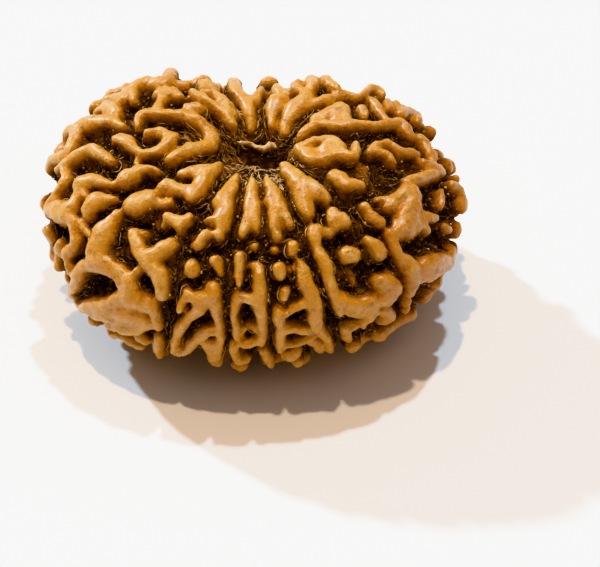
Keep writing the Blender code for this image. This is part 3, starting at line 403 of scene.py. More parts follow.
def vertex_rows(data: bpy.types.Mesh, kind: str) -> np.ndarray:
    """A row of three numbers for each vertex: its place for kind "co", its direction for kind "normal"."""
    flat = np.empty(len(data.vertices) * 3, np.float32)
    data.vertices.foreach_get(kind, flat)
    return flat.reshape(-1, 3).astype(float)


def corners(data: bpy.types.Mesh) -> np.ndarray:
    """The mesh's vertices as rows of three numbers."""
    return vertex_rows(data, "co")


def normals_of(data: bpy.types.Mesh) -> np.ndarray:
    """The mesh's vertex normals as rows of three numbers."""
    return vertex_rows(data, "normal")


def set_corners(data: bpy.types.Mesh, places: np.ndarray) -> None:
    """Moves the mesh's vertices to the places."""
    data.vertices.foreach_set("co", np.ascontiguousarray(places, np.float32).ravel())
    data.update()


def set_values(data: bpy.types.Mesh, name: str, values: np.ndarray) -> None:
    """Stores one number for each vertex as an attribute of the mesh."""
    layer = data.attributes.new(name, "FLOAT", "POINT")
    layer.data.foreach_set("value", np.ascontiguousarray(values, np.float32))


def above_floor(places: np.ndarray) -> np.ndarray:
    """The places, with those under the floor raised to it."""
    return np.maximum(places, (-np.inf, -np.inf, 0.0))


@dataclass(frozen=True)
class CrestForm:
    """The smooth skin that the ridge tops reach, with bulges every 45 degrees round from +X."""

    length: float = 34.0 * MM
    depth: float = 29.2 * MM
    height: float = 18.6 * MM
    plan_fullness: float = 2.25
    side_fullness: float = 2.35
    pole_dip: float = 2.2 * MM
    pole_dip_spread: float = 0.28
    bulges_above: tuple = (0.0, 0.0, -0.076, 0.052, 0.028, -0.024, 0.0, 0.004)
    bulges_below: tuple = (-0.02, 0.0, 0.0, 0.0, -0.042, -0.007, -0.015, -0.048)
    bulge_reach: float = 0.5
    belt_sharpness: float = 4.0

    def bulge(self, azimuth: float, values: tuple) -> float:
        """Blends the bulges of the two directions nearest to an azimuth.

        Args:
            azimuth: from +X, in radians.
            values: one bulge for every 45 degrees.

        Returns:
            The bulge, as a share of the form's size.
        """
        total = 0.0
        for number, value in enumerate(values):
            gap = math.remainder(azimuth - math.radians(45 * number), 2 * math.pi)
            if abs(gap) < math.pi / 4:
                total += value * math.cos(2 * gap) ** 2
        return total

    def point(self, azimuth: float, latitude: float) -> Vector:
        """A point of the form.

        Args:
            azimuth: from +X, in radians.
            latitude: from the belt, in radians.

        Returns:
            The point, from the form's middle.
        """
        across = signed_power(math.cos(latitude), 2 / self.side_fullness)
        x = self.length / 2 * signed_power(math.cos(azimuth), 2 / self.plan_fullness) * across
        y = self.depth / 2 * signed_power(math.sin(azimuth), 2 / self.plan_fullness) * across
        z = self.height / 2 * signed_power(math.sin(latitude), 2 / self.side_fullness)
        reach = math.hypot(2 * x / self.length, 2 * y / self.depth)
        above = min(1.0, max(0.0, self.belt_sharpness * z / self.height + 0.5))
        swell = self.bulge(azimuth, self.bulges_above) * above
        swell += self.bulge(azimuth, self.bulges_below) * (1 - above)
        place = Vector((x, y, z)) * (1 + swell * min(1.0, reach / self.bulge_reach))
        place.z -= math.copysign(self.pole_dip * math.exp(-((reach / self.pole_dip_spread) ** 2)), z)
        return place

    def sphere(self, divisions: int) -> bmesh.types.BMesh:
        """Moves an even sphere's vertices onto the form.

        Args:
            divisions: how often the sphere's triangles are divided.

        Returns:
            The form as a mesh of triangles.
        """
        mesh = bmesh.new()
        bmesh.ops.create_icosphere(mesh, subdivisions=divisions, radius=1.0)
        for vertex in mesh.verts:
            azimuth = math.atan2(vertex.co.y, vertex.co.x)
            vertex.co = self.point(azimuth, math.asin(max(-1.0, min(1.0, vertex.co.z))))
        mesh.normal_update()
        return mesh


@dataclass(frozen=True)
class Sight:
    """The line of sight of the photograph, in the form's own frame. Its lean is in pixels."""

    elevation: float = math.radians(42.0)
    distance: float = 200.0 * MM
    aim: tuple = (3.75 * MM, -4.5 * MM, -3.3 * MM)
    picture_middle: tuple = (300.0, 283.5)
    pixels_per_mm: float = 12.45
    lean: float = 2.5
    sensor: float = 36.0
    nearest: float = 10 * MM

    def axes(self) -> tuple[Vector, Vector, Vector, Vector]:
        """The eye and its right, up and back directions."""
        back = Vector((0, -math.cos(self.elevation), math.sin(self.elevation)))
        right = Vector((1, 0, 0))
        return Vector(self.aim) + back * self.distance, right, back.cross(right), back

    def seen_at(self, tree: BVHTree, x: float, y: float) -> tuple[Vector, Vector]:
        """Where the line of sight through pixel (x, y) meets the crest form.

        Args:
            tree: the crest form.
            x: pixels from the picture's left.
            y: pixels from its top.

        Returns:
            The place on the form and its outward direction. For a line that misses the form, it is the place
            nearest to the line.
        """
        eye, right, up, back = self.axes()
        span = self.pixels_per_mm / MM * self.distance
        middle = self.picture_middle
        ray = (right * ((x - middle[0]) / span) - up * ((y - middle[1]) / span) - back).normalized()
        place, normal = tree.ray_cast(eye, ray)[:2]
        if place is None:
            place, normal = tree.find_nearest(eye + ray * (-eye).dot(ray))[:2]
        return place, normal

    def drop(self, tree: BVHTree, x: float, y: float) -> Vector:
        """Puts a drawn point of a ridge on the crest form.

        The near wall of a ridge shows too, so its top lies outward of its drawn middle.

        Args:
            tree: the crest form.
            x: pixels from the picture's left.
            y: pixels from its top.

        Returns:
            The place on the form.
        """
        _, right, up, _ = self.axes()
        normal = self.seen_at(tree, x, y)[1]
        return self.seen_at(tree, x + self.lean * normal.dot(right), y - self.lean * normal.dot(up))[0]

    def rise(self, sink: float) -> float:
        """How many pixels a place on the crown moves down the picture when it sinks by so many metres."""
        return sink / MM * self.pixels_per_mm * math.cos(self.elevation)

    def pixel_of(self, place: Vector) -> tuple[float, float]:
        """The pixel (x, y) of the line of sight to a place."""
        eye, right, up, back = self.axes()
        away = place - eye
        span = self.pixels_per_mm / MM * self.distance / -away.dot(back)
        return self.picture_middle[0] + away.dot(right) * span, self.picture_middle[1] - away.dot(up) * span

    def camera(self, shift: Vector) -> bpy.types.Object:
        """Adds the scene's camera at the photograph's eye.

        Args:
            shift: the way from the form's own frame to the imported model's.

        Returns:
            The camera.
        """
        eye, right, up, back = self.axes()
        lens = bpy.data.cameras.new("photo_view")
        lens.sensor_width = self.sensor
        lens.lens = self.sensor * self.pixels_per_mm * self.distance / MM / PICTURE_SIDE
        lens.clip_start = self.nearest
        obj = linked("photo_view", lens)
        obj.matrix_world = Matrix.Translation(eye + shift) @ Matrix((right, up, back)).transposed().to_4x4()
        bpy.context.scene.camera = obj
        return obj


@dataclass(frozen=True)
class RidgeProfile:
    """How high a ridge stands off its middle line, and how deep the floor between ridges lies."""

    crown_floor: float = 1.8 * MM
    belt_floor: float = 2.7 * MM
    hole_depth: float = 0.5 * MM
    hole_spread: float = 2.3 * MM
    round_height: float = 0.85 * MM
    round_share: float = 0.95
    wall_slope: float = 5.0
    tall_width: float = 0.55 * MM
    tall_rise: float = 0.4
    most_rise: float = 0.2 * MM
    join_softness: float = 0.3 * MM
    station_step: float = 0.35 * MM
    least_width: float = 0.12 * MM

    def top(self, half_width: np.ndarray, drop: np.ndarray) -> np.ndarray:
        """The height of a ridge's top against the crest form. Wide ridges stand taller."""
        rise = (half_width - self.tall_width) * self.tall_rise
        return np.clip(rise, -self.most_rise, self.most_rise) - drop

    def fall(self, distance: np.ndarray, half_width: np.ndarray) -> np.ndarray:
        """How far a ridge falls from its top: a round crown, then steep walls.

        Args:
            distance: from the ridge's middle line.
            half_width: the ridge's half width there.

        Returns:
            The fall at each distance.
        """
        crown = np.minimum(half_width * self.round_share, self.round_height)
        inside = np.sqrt(np.clip(1 - (distance / half_width) ** 2, 0, 1))
        return crown * (1 - inside) + np.clip(distance - half_width, 0, None) * self.wall_slope

    def joined(self, first: np.ndarray, second: np.ndarray) -> np.ndarray:
        """The larger of two heights, with a fillet where they are nearly equal."""
        overlap = np.clip(self.join_softness - np.abs(first - second), 0, None)
        return np.maximum(first, second) + overlap**2 / (4 * self.join_softness)

    def thickened(self, stations: Stations) -> Stations:
        """Puts smooth stations between those of a ridge.

        Args:
            stations: the ridge's stations (place, half width, drop).

        Returns:
            Stations about one station step apart.
        """
        if len(stations) == 1:
            return stations
        ends = [stations[0], *stations, stations[-1]]
        filled = []
        for i in range(1, len(ends) - 2):
            four = ends[i - 1 : i + 3]
            steps = max(1, round((four[2][0] - four[1][0]).length / self.station_step))
            for step in range(steps):
                place, half_width, drop = (spline([s[k] for s in four], step / steps) for k in range(3))
                filled.append((place, max(half_width, self.least_width), drop))
        filled.append(stations[-1])
        return filled


@dataclass
class DrawnRidges:
    """The ridges that the photograph shows, dropped onto the crest form."""

    sight: Sight
    tree: BVHTree
    hole_pixel: tuple = (259, 155)
    hole_ring: tuple = (52, 37)
    root_share: float = 0.45
    root_steps: tuple = (0.0, 0.5, 1.0)
    root_width: float = 0.9
    root_taper: float = 0.5
    root_sink: float = 2.1 * MM

    def root(self, first_point: tuple) -> list[Stations]:
        """A low root that runs from a petal's inner tip into the hole, sinking as it goes.

        Args:
            first_point: the first drawn point (x, y, half width) of a ridge.

        Returns:
            The root's stations as a list of one, or an empty list for a ridge that starts away from the hole.
        """
        x, y, half = first_point
        across, down = self.hole_pixel[0] - x, self.hole_pixel[1] - y
        if math.hypot(across / self.hole_ring[0], down / self.hole_ring[1]) > 1:
            return []
        root = []
        for step in self.root_steps:
            to_x, to_y = x + across * self.root_share * step, y + down * self.root_share * step
            half_width = half * MM * (self.root_width - self.root_taper * step)
            root.append((self.sight.drop(self.tree, to_x, to_y), half_width, self.root_sink * step))
        return [root]

    def make(self) -> list[Stations]:
        """Drops every drawn ridge, and the roots of the crown's petals.

        Returns:
            The ridges as lists of stations (place, half width, drop), in metres.
        """
        ridges = []
        for points in CROWN.values():
            ridges += self.root(next(point for point in points if isinstance(point, tuple)))
        for drawing in (CROWN, LEFT, LOWER_LEFT, FRONT, RIGHT):
            for points in drawing.values():
                drop = points[0] * MM if isinstance(points[0], float) else 0.0
                marks = [point for point in points if isinstance(point, tuple)]
                ridges.append([(self.sight.drop(self.tree, x, y), half * MM, drop) for x, y, half in marks])
        return ridges


@dataclass
class HiddenRidges:
    """Petals, knobs and links, by a seeded rule, for the sides that the photograph doesn't show.

    The widths and drops of knobs, links and petals are in millimetres.
    """

    form: CrestForm
    sight: Sight
    profile: RidgeProfile
    tree: BVHTree
    seed: int = 11
    draw: random.Random = field(default_factory=random.Random)
    tries: int = 9000
    heights: tuple = (-0.985, 0.97)
    knob_width: tuple = (0.45, 0.9)
    knob_drop: tuple = (-0.05, 0.25)
    spacing: float = 2.0 * MM
    spacing_share: tuple = (0.85, 1.1)
    clearance: float = 1.6 * MM
    link_reach: float = 3.3 * MM
    link_chance: float = 0.7
    most_links: int = 2
    link_width: tuple = (0.6, 0.95)
    link_sag: tuple = (0.0, 0.35)
    edge_facing: tuple = (-0.45, 0.16)
    bare_pixels: tuple = (
        (186, 76), (286, 76), (343, 85), (364, 87), (45, 193), (285, 365), (185, 358), (125, 343),
    )
    bare_reach: float = 12.0
    groove_share: float = 0.6
    groove_margin: float = 0.25 * MM
    petal_steps: tuple = (0.22, 0.3, 0.38, 0.47, 0.55)
    petal_lengths: tuple = (3, 4, 5)
    petal_turn: float = 2
    petal_room: float = 0.3
    petal_width: float = 0.3
    petal_widening: float = 0.16
    most_petal_width: float = 0.9
    grooves: tuple = (-178, -158, -129, -88, -49, -23, -1, 31, 77, 112, 130, 153)
    squeeze: float = 0.36
    squeeze_fall: float = 1.5

    def groove(self, ring_azimuth: float, latitude: float) -> float:
        """The course of a groove. Grooves gather towards the front and back near the belt.

        Args:
            ring_azimuth: the groove's direction at the hole, in degrees.
            latitude: from the belt, in radians.

        Returns:
            The groove's azimuth at that latitude, in radians.
        """
        squeeze = 1 - (1 - self.squeeze) * math.cos(latitude) ** self.squeeze_fall
        ring = math.radians(ring_azimuth)
        return math.atan2(squeeze * math.sin(ring), math.cos(ring)) - math.pi / 2

    def segment(self, azimuth: float, latitude: float) -> int:
        """Finds the segment between grooves that holds a place.

        Args:
            azimuth: the place's, in radians.
            latitude: the place's, in radians.

        Returns:
            The number of the groove at the segment's start.
        """
        turn = 2 * math.pi
        edges = sorted((self.groove(g, latitude) % turn, i) for i, g in enumerate(self.grooves))
        below = [i for edge, i in edges if edge <= azimuth % turn]
        return below[-1] if below else edges[-1][1]

    def groove_gap(self, place: Vector, latitude: float) -> float:
        """How far a place is from the nearest groove, in metres."""
        return min((place - self.form.point(self.groove(g, latitude), latitude)).length for g in self.grooves)

    def petals(self) -> list[Stations]:
        """Grows petals round the lower hole, one to each segment.

        Returns:
            The petals, which widen away from the hole.
        """
        draw = random.Random(self.seed + 1)
        petals = []
        for number, ring_azimuth in enumerate(self.grooves):
            span = (self.grooves[(number + 1) % len(self.grooves)] - ring_azimuth) % 360
            middle = ring_azimuth + span / 2 + draw.uniform(-self.petal_turn, self.petal_turn)
            last = draw.choice(self.petal_lengths)
            petal = []
            for step, reach in enumerate(self.petal_steps[:last]):
                latitude = -math.acos(min(1.0, reach) ** (self.form.side_fullness / 2))
                place = self.form.point(self.groove(middle, latitude), latitude)
                room = reach * self.form.length / 2 * math.radians(span) * self.petal_room
                width = (self.petal_width + self.petal_widening * step) * MM
                petal.append((place, min(room, width, self.most_petal_width * MM), 0.0))
            petals.append(petal)
        return petals

    def is_out_of_sight(self, place: Vector) -> bool:
        """Whether a hidden ridge may grow at a place.

        Args:
            place: a place on the crest form.

        Returns:
            Whether it faces away, or lies near the outline where the photograph shows no bare ground.
        """
        normal = self.tree.find_nearest(place)[1]
        facing = (self.sight.axes()[0] - place).normalized().dot(normal)
        if facing < self.edge_facing[0]:
            return True
        x, y = self.sight.pixel_of(place)
        clear = all(math.hypot(x - u, y - v) > self.bare_reach for u, v in self.bare_pixels)
        return facing < self.edge_facing[1] and clear

    def knobs(self, taken: list[Vector]) -> list[tuple]:
        """Scatters knobs over what the photograph doesn't show, clear of the grooves.

        Args:
            taken: places to keep clear of.

        Returns:
            The knobs (place, half width, drop, segment).
        """
        held = finder_of(taken)
        draw = self.draw.uniform
        knobs = []
        for _ in range(self.tries):
            latitude = math.asin(draw(*self.heights))
            azimuth = draw(-math.pi, math.pi)
            half_width = draw(*self.knob_width) * MM
            spacing = self.spacing * draw(*self.spacing_share)
            place = self.form.point(azimuth, latitude)
            if not self.is_out_of_sight(place) or held.find(place)[2] < self.clearance:
                continue
            if any((place - knob[0]).length < spacing for knob in knobs):
                continue
            if self.groove_gap(place, latitude) < half_width * self.groove_share + self.groove_margin:
                continue
            knobs.append((place, half_width, draw(*self.knob_drop) * MM, self.segment(azimuth, latitude)))
        return knobs

    def link(self, first: tuple, second: tuple) -> Stations:
        """A ridge from one knob to the next, narrower and lower at its middle."""
        place = self.tree.find_nearest((first[0] + second[0]) / 2)[0]
        half_width = min(first[1], second[1]) * self.draw.uniform(*self.link_width)
        sag = max(first[2], second[2]) + self.draw.uniform(*self.link_sag) * MM
        return [first[:3], (place, half_width, sag), second[:3]]

    def make(self, drawn: list[Stations]) -> list[Stations]:
        """Grows all hidden ridges.

        Args:
            drawn: the drawn ridges, which the hidden ones keep clear of.

        Returns:
            The hidden ridges.
        """
        self.draw.seed(self.seed)
        petals = self.petals()
        taken = [station[0] for stations in drawn + petals for station in self.profile.thickened(stations)]
        knobs = self.knobs(taken)
        ridges = []
        links = [0] * len(knobs)
        for i, knob in enumerate(knobs):
            near = sorted(
                ((knob[0] - other[0]).length, j)
                for j, other in enumerate(knobs)
                if j > i and other[3] == knob[3] and (knob[0] - other[0]).length < self.link_reach
            )
            for _, j in near[: self.most_links]:
                if max(links[i], links[j]) < self.most_links and self.draw.random() < self.link_chance:
                    ridges.append(self.link(knob, knobs[j]))
                    links[i] += 1
                    links[j] += 1
        loose = [[knob[:3]] for knob, count in zip(knobs, links) if count == 0]
        return petals + ridges + loose


@dataclass
class Relief:
    """The height of the shell against the crest form, and the level of the nearest ridge's top."""

    profile: RidgeProfile
    warp: float = 0.1 * MM
    warp_size: float = 1.3 * MM
    debris: float = 0.55 * MM
    debris_size: float = 1.5 * MM
    debris_cover: float = 0.35
    belt_debris: float = 0.35
    bare_level: float = -0.2 * MM
    least_level: float = -0.35 * MM
    far_below: float = -1.0

    def floor(self, places: np.ndarray, normals: np.ndarray) -> np.ndarray:
        """The floor between the ridges, with heaps of dried pulp on it.

        Args:
            places: points of the crest form.
            normals: their outward directions.

        Returns:
            The floor's height at each place.
        """
        profile = self.profile
        across = np.hypot(places[:, 0], places[:, 1])
        crownward = np.abs(normals[:, 2])
        height = -profile.belt_floor + (profile.belt_floor - profile.crown_floor) * crownward
        height -= profile.hole_depth * np.exp(-((across / profile.hole_spread) ** 2))
        heap = np.clip(self.debris_cover + ripples(places, self.debris_size, shift=3.7), 0, 1)
        return height + self.debris * heap * (self.belt_debris + (1 - self.belt_debris) * crownward)

    def measure(
        self, places: np.ndarray, normals: np.ndarray, ridges: list[Stations]
    ) -> tuple[np.ndarray, np.ndarray]:
        """Lays every ridge over the floor.

        Args:
            places: points of the crest form.
            normals: their outward directions.
            ridges: stations (place, half width, drop).

        Returns:
            The height at each place and the top level of the ridge that stands highest there, both in metres.
        """
        profile = self.profile
        finder = finder_of(places)
        bent = places + swirls(places, self.warp_size) * self.warp
        height = self.floor(places, normals)
        level = np.full(len(places), self.bare_level)
        highest = np.full(len(places), self.far_below)
        for stations in ridges:
            filled = profile.thickened(stations)
            ridge = np.full(len(places), self.far_below)
            for first, second in zip(filled, filled[1:] or filled):
                reach = max(first[1], second[1]) + 2 * profile.belt_floor / profile.wall_slope
                reach += profile.station_step
                near = np.array([found[1] for found in finder.find_range(first[0], reach)], dtype=int)
                start, span = np.array(first[0]), np.array(second[0]) - np.array(first[0])
                along = np.clip((bent[near] - start) @ span / max(float(span @ span), TINY), 0, 1)
                distance = np.linalg.norm(bent[near] - start - along[:, None] * span, axis=1)
                half_width = first[1] + (second[1] - first[1]) * along
                top = profile.top(half_width, first[2] + (second[2] - first[2]) * along)
                here = top - profile.fall(distance, half_width)
                ridge[near] = np.maximum(ridge[near], here)
                better = here > highest[near]
                highest[near[better]] = here[better]
                level[near[better]] = top[better]
            height = profile.joined(height, ridge)
        return height, np.maximum(level, self.least_level)


class NodeSheet:
    """Places shader nodes in a tree and joins them."""

    def __init__(self, tree: bpy.types.NodeTree) -> None:
        """Keeps the node tree to work in."""
        self.tree = tree

    def feed(self, socket: Socket, value: Value | tuple) -> None:
        """Joins an output to an input, or sets the input to a value."""
        if isinstance(value, bpy.types.NodeSocket):
            self.tree.links.new(value, socket)
        else:
            socket.default_value = value

    def fill(self, node: bpy.types.Node, inputs: dict) -> None:
        """Feeds a node's inputs, which are given by name or number."""
        for name, value in inputs.items():
            self.feed(node.inputs[name], value)

    def add(self, kind: str, inputs: dict | None = None, **settings) -> bpy.types.Node:
        """Adds a node.

        Args:
            kind: the node's type, without its "ShaderNode" beginning.
            inputs: input names or numbers with a value, or with an output to join.
            settings: properties of the node.

        Returns:
            The node.
        """
        node = self.tree.nodes.new("ShaderNode" + kind)
        for name, value in settings.items():
            setattr(node, name, value)
        self.fill(node, inputs or {})
        return node

    def attribute(self, name: str) -> Socket:
        """A number that the mesh stores at its vertices."""
        return self.add("Attribute", attribute_name=name).outputs["Fac"]

    def math(self, operation: str, first: Value, second: Value) -> Socket:
        """The result of a sum on two values or outputs."""
        return self.add("Math", {0: first, 1: second}, operation=operation).outputs[0]

    def plus(self, first: Value, second: Value) -> Socket:
        """Two values or outputs added."""
        return self.math("ADD", first, second)

    def times(self, first: Value, second: Value) -> Socket:
        """Two values or outputs multiplied."""
        return self.math("MULTIPLY", first, second)

    def spread(
        self, value: Value, low: float, high: float, to_low: float = 0.0, to_high: float = 1.0
    ) -> Socket:
        """A value's range from low to high, eased onto another range."""
        inputs = {"Value": value, "From Min": low, "From Max": high, "To Min": to_low, "To Max": to_high}
        return self.add("MapRange", inputs, interpolation_type="SMOOTHSTEP").outputs["Result"]

    def noise(self, place: Socket, size: float, detail: float, roughness: float = 0.55) -> Socket:
        """Cloudy noise from 0 to 1 whose lumps are about size metres long."""
        inputs = {"Vector": place, "Scale": 1 / size, "Detail": detail, "Roughness": roughness}
        return self.add("TexNoise", inputs).outputs["Fac"]

    def mix(self, share: Value, first: Colour, second: Colour, blend: str = "MIX") -> Socket:
        """Mixes two colours.

        Args:
            share: how much of the second colour there is, from 0 to 1.
            first: a colour, or an output that gives one.
            second: the same.
            blend: how Blender combines them.

        Returns:
            The mixed colour.
        """
        node = self.add("Mix", data_type="RGBA", blend_type=blend)
        for name, value in (("Factor_Float", share), ("A_Color", first), ("B_Color", second)):
            self.feed(next(socket for socket in node.inputs if socket.identifier == name), value)
        return next(socket for socket in node.outputs if socket.identifier == "Result_Color")

    def ramp(self, value: Value, stops: tuple, colours: tuple) -> Socket:
        """A colour ramp.

        Args:
            value: where to read the ramp, from 0 to 1.
            stops: the colours' positions.
            colours: one colour for each position.

        Returns:
            The colour there.
        """
        node = self.add("ValToRGB", {"Fac": value})
        elements = node.color_ramp.elements
        while len(elements) < len(stops):
            elements.new(0.5)
        for element, position, colour in zip(elements, stops, colours):
            element.position = position
            element.color = colour
        return node.outputs["Color"]


def shade(red: float, green: float, blue: float) -> tuple[float, float, float, float]:
    """An opaque colour from linear red, green and blue."""
    return (red, green, blue, 1.0)


def blank_material(name: str) -> tuple[bpy.types.Material, NodeSheet, bpy.types.Node]:
    """A new material, a sheet for its nodes, and its Principled shader."""
    material = bpy.data.materials.new(name)
    material.use_nodes = True
    return material, NodeSheet(material.node_tree), material.node_tree.nodes["Principled BSDF"]


@dataclass(frozen=True)
class WoodyGrain:
    """The woody grain that the shell and the fibres share: fine pores and a rough height."""

    detail: float = 4.0
    roughness: float = 0.65
    pit_edges: tuple = (0.1, 0.38)
    pit_places: tuple = (0.5, 0.62)
    pore_depth: float = 0.5

    def group(self) -> bpy.types.NodeTree:
        """Builds the grain's node group.

        Returns:
            The group, which takes Place and Grain Scale and gives Pores and Height.
        """
        group = bpy.data.node_groups.new("woody grain", "ShaderNodeTree")
        face = group.interface
        face.new_socket("Place", in_out="INPUT", socket_type="NodeSocketVector")
        face.new_socket("Grain Scale", in_out="INPUT", socket_type="NodeSocketFloat")
        face.new_socket("Pores", in_out="OUTPUT", socket_type="NodeSocketFloat")
        face.new_socket("Height", in_out="OUTPUT", socket_type="NodeSocketFloat")
        sheet = NodeSheet(group)
        source = group.nodes.new("NodeGroupInput").outputs
        sink = group.nodes.new("NodeGroupOutput")
        spot = {"Vector": source["Place"], "Scale": source["Grain Scale"]}
        cloud = spot | {"Detail": self.detail, "Roughness": self.roughness}
        fine = sheet.add("TexNoise", cloud).outputs["Fac"]
        dots = sheet.add("TexVoronoi", spot | {"Randomness": 1.0}).outputs["Distance"]
        pits = sheet.spread(dots, *self.pit_edges, 1.0, 0.0)
        pores = sheet.times(pits, sheet.spread(fine, *self.pit_places))
        height = sheet.math("SUBTRACT", fine, sheet.times(pores, self.pore_depth))
        sheet.fill(sink, {"Pores": pores, "Height": height})
        return group


@dataclass(frozen=True)
class ShellFinish:
    """Waxy golden brown shell, dark and rough where it is deep or under overhangs; the dark is partly painted
    shade.

    Colours are linear. Depths are in millimetres under the nearest ridge's top. A tone runs from 0 in the
    deepest shelter to 1 on an open ridge top. Two numbers in brackets are the ends of a range over which
    something sets in.
    """

    # pit, flank, ochre and golden make the tone's ramp down the walls: partly the grooves' own dark matter,
    # partly painted shade
    pit: tuple = shade(0.016, 0.005, 0.001)
    flank: tuple = shade(0.2, 0.06, 0.008)
    ochre: tuple = shade(0.45, 0.17, 0.014)
    golden: tuple = shade(0.64, 0.265, 0.019)
    tan: tuple = shade(0.68, 0.335, 0.048)
    # the colour of the painted highlights
    pale: tuple = shade(0.82, 0.54, 0.21)
    tone_stops: tuple = (0.0, 0.18, 0.42, 0.68)
    crown_tone: tuple = (0.58, 0.9)
    crown_depth: float = -0.35
    wall_depth: float = 1.14
    patchiness: float = 1.4
    patch_size: float = 1.1 * MM
    opening: tuple = (0.14, 0.54)
    # the tone where the sky is shut: painted shade
    painted_shade_tone: float = 0.2
    region_size: float = 4.5 * MM
    region: tuple = (0.35, 0.65)
    # painted top light: the tops grow paler with height; painted highlights in cloudy patches and on the most
    # open tops
    top_light_rise: tuple = (6.0 * MM, 13.0 * MM)
    belt_top_light: float = 0.35
    highlight_patch_size: float = 0.8 * MM
    highlight_patch_edges: tuple = (0.45, 0.72)
    highlight_patch_share: float = 0.5
    top_highlight_tone: tuple = (0.78, 1.0)
    top_highlight_share: float = 0.25
    crust: tuple = shade(0.26, 0.1, 0.018)
    crust_share: float = 0.75
    crust_size: float = 1.8 * MM
    crust_patch: tuple = (0.5, 0.6)
    # painted shade: the crust fades where the sky is shut
    crust_opening: tuple = (0.1, 0.38)
    crust_tone: tuple = (0.1, 0.45)
    # painted shade towards the seed's right end, the side turned from the lamps
    right_end_shade_tint: tuple = shade(0.7, 0.52, 0.3)
    right_end_shade_share: float = 0.5
    right_end_shade_span: tuple = (7.5 * MM, 12.5 * MM)
    right_end_shade_wander: float = 3.0 * MM
    stain: tuple = shade(0.16, 0.05, 0.008)
    stain_size: float = 0.88 * MM
    stain_patch: tuple = (0.53, 0.66)
    stain_share: float = 0.5
    pore_share: float = 0.12
    gloss_roughness: float = 0.4
    deep_roughness: float = 0.9
    rough_tone: tuple = (0.2, 0.8)
    grain_roughness: float = 0.1
    shine: float = 0.35
    shine_colour: tuple = shade(1.0, 0.87, 0.72)
    polish: float = 0.85
    polish_tone: tuple = (0.4, 0.75)
    polish_roughness: float = 0.36
    wax: float = 0.1
    wax_reach: float = 0.3 * MM
    wax_colour: tuple = (1.0, 0.4, 0.12)
    bump: float = 0.26 * MM
    bump_strength: float = 0.8
    grain_scale: float = 4200.0

    def tone(self, sheet: NodeSheet, place: Socket, opening: Socket) -> Socket:
        """The tone of each place, which carries painted shade.

        Args:
            sheet: the material's nodes.
            place: where on the shell it is.
            opening: how much of the sky is open there; less open places get painted shade.

        Returns:
            The tone, from 0 to 1.
        """
        wander = sheet.noise(place, self.patch_size, 6.0, 0.7)
        patchy = sheet.times(sheet.math("SUBTRACT", wander, 0.5), self.patchiness)
        depth = sheet.plus(sheet.attribute("below"), patchy)
        # partly painted shade: the tone falls with depth under the ridge's top, partly the grooves' own dark
        # matter
        height = sheet.spread(depth, self.crown_depth, self.wall_depth, 1.0, 0.0)
        # painted shade: the tone falls where the sky over the place is shut
        return sheet.times(height, sheet.spread(opening, *self.opening, self.painted_shade_tone, 1.0))

    def crown(self, sheet: NodeSheet, place: Socket, tone: Socket, region: Socket, rise: Socket) -> Socket:
        """The colour of the ridge tops, with painted top light and painted highlights that grow towards the
        seed's crown.

        Args:
            sheet: the material's nodes.
            place: where on the shell it is.
            tone: the tone there.
            region: from 0 to 1, whether the tan or the golden colour rules there.
            rise: how high the place lies over the floor.

        Returns:
            The colour.
        """
        # painted top light: paler and more tan with height, as the lamps fall from above
        top = sheet.spread(rise, *self.top_light_rise, self.belt_top_light, 1.0)
        colour = sheet.mix(sheet.times(region, top), self.golden, self.tan)
        # painted highlights: pale cloudy patches and the most open tops
        highlight_patches = sheet.spread(sheet.noise(place, self.highlight_patch_size, 4.0, 0.65), *self.highlight_patch_edges)
        top_highlight = sheet.times(sheet.spread(tone, *self.top_highlight_tone), self.top_highlight_share)
        paleness = sheet.plus(sheet.times(highlight_patches, self.highlight_patch_share), top_highlight)
        return sheet.mix(sheet.times(paleness, top), colour, self.pale)

    def groove(self, sheet: NodeSheet, place: Socket, tone: Socket, opening: Socket) -> Socket:
        """The colour of the walls and floors, with painted shade in part, and a dry crust where they are deep
        but open.

        Args:
            sheet: the material's nodes.
            place: where on the shell it is.
            tone: the tone there.
            opening: how much of the sky is open there.

        Returns:
            The colour.
        """
        # the ramp darkens down the walls: partly the grooves' own dark matter, partly painted shade
        colour = sheet.ramp(tone, self.tone_stops, (self.pit, self.flank, self.ochre, self.golden))
        dry = sheet.spread(sheet.noise(place, self.crust_size, 5.0, 0.7), *self.crust_patch)
        # painted shade: the crust fades where the sky is shut
        dry = sheet.times(dry, sheet.spread(opening, *self.crust_opening))
        dry = sheet.times(dry, sheet.spread(tone, *self.crust_tone, self.crust_share, 0.0))
        return sheet.mix(dry, colour, self.crust)

    def shaded_right_end_and_stains(self, sheet: NodeSheet, place: Socket, colour: Socket, region: Socket, along: Socket) -> Socket:
        """Darkens a colour with painted shade towards the seed's right end, the side turned from the lamps,
        along a wandering edge, and stains it.

        Args:
            sheet: the material's nodes.
            place: where on the shell it is.
            colour: the colour there.
            region: from 0 to 1, what moves the edge.
            along: how far to the right the place lies.

        Returns:
            The shaded and stained colour.
        """
        wander = sheet.times(sheet.math("SUBTRACT", region, 0.5), self.right_end_shade_wander)
        # painted shade: darker towards the right end
        right_end_shade = sheet.spread(sheet.plus(along, wander), *self.right_end_shade_span, 0.0, self.right_end_shade_share)
        colour = sheet.mix(right_end_shade, colour, self.right_end_shade_tint, "MULTIPLY")
        stained = sheet.spread(sheet.noise(place, self.stain_size, 6.0, 0.75), *self.stain_patch)
        return sheet.mix(sheet.times(stained, self.stain_share), colour, self.stain)

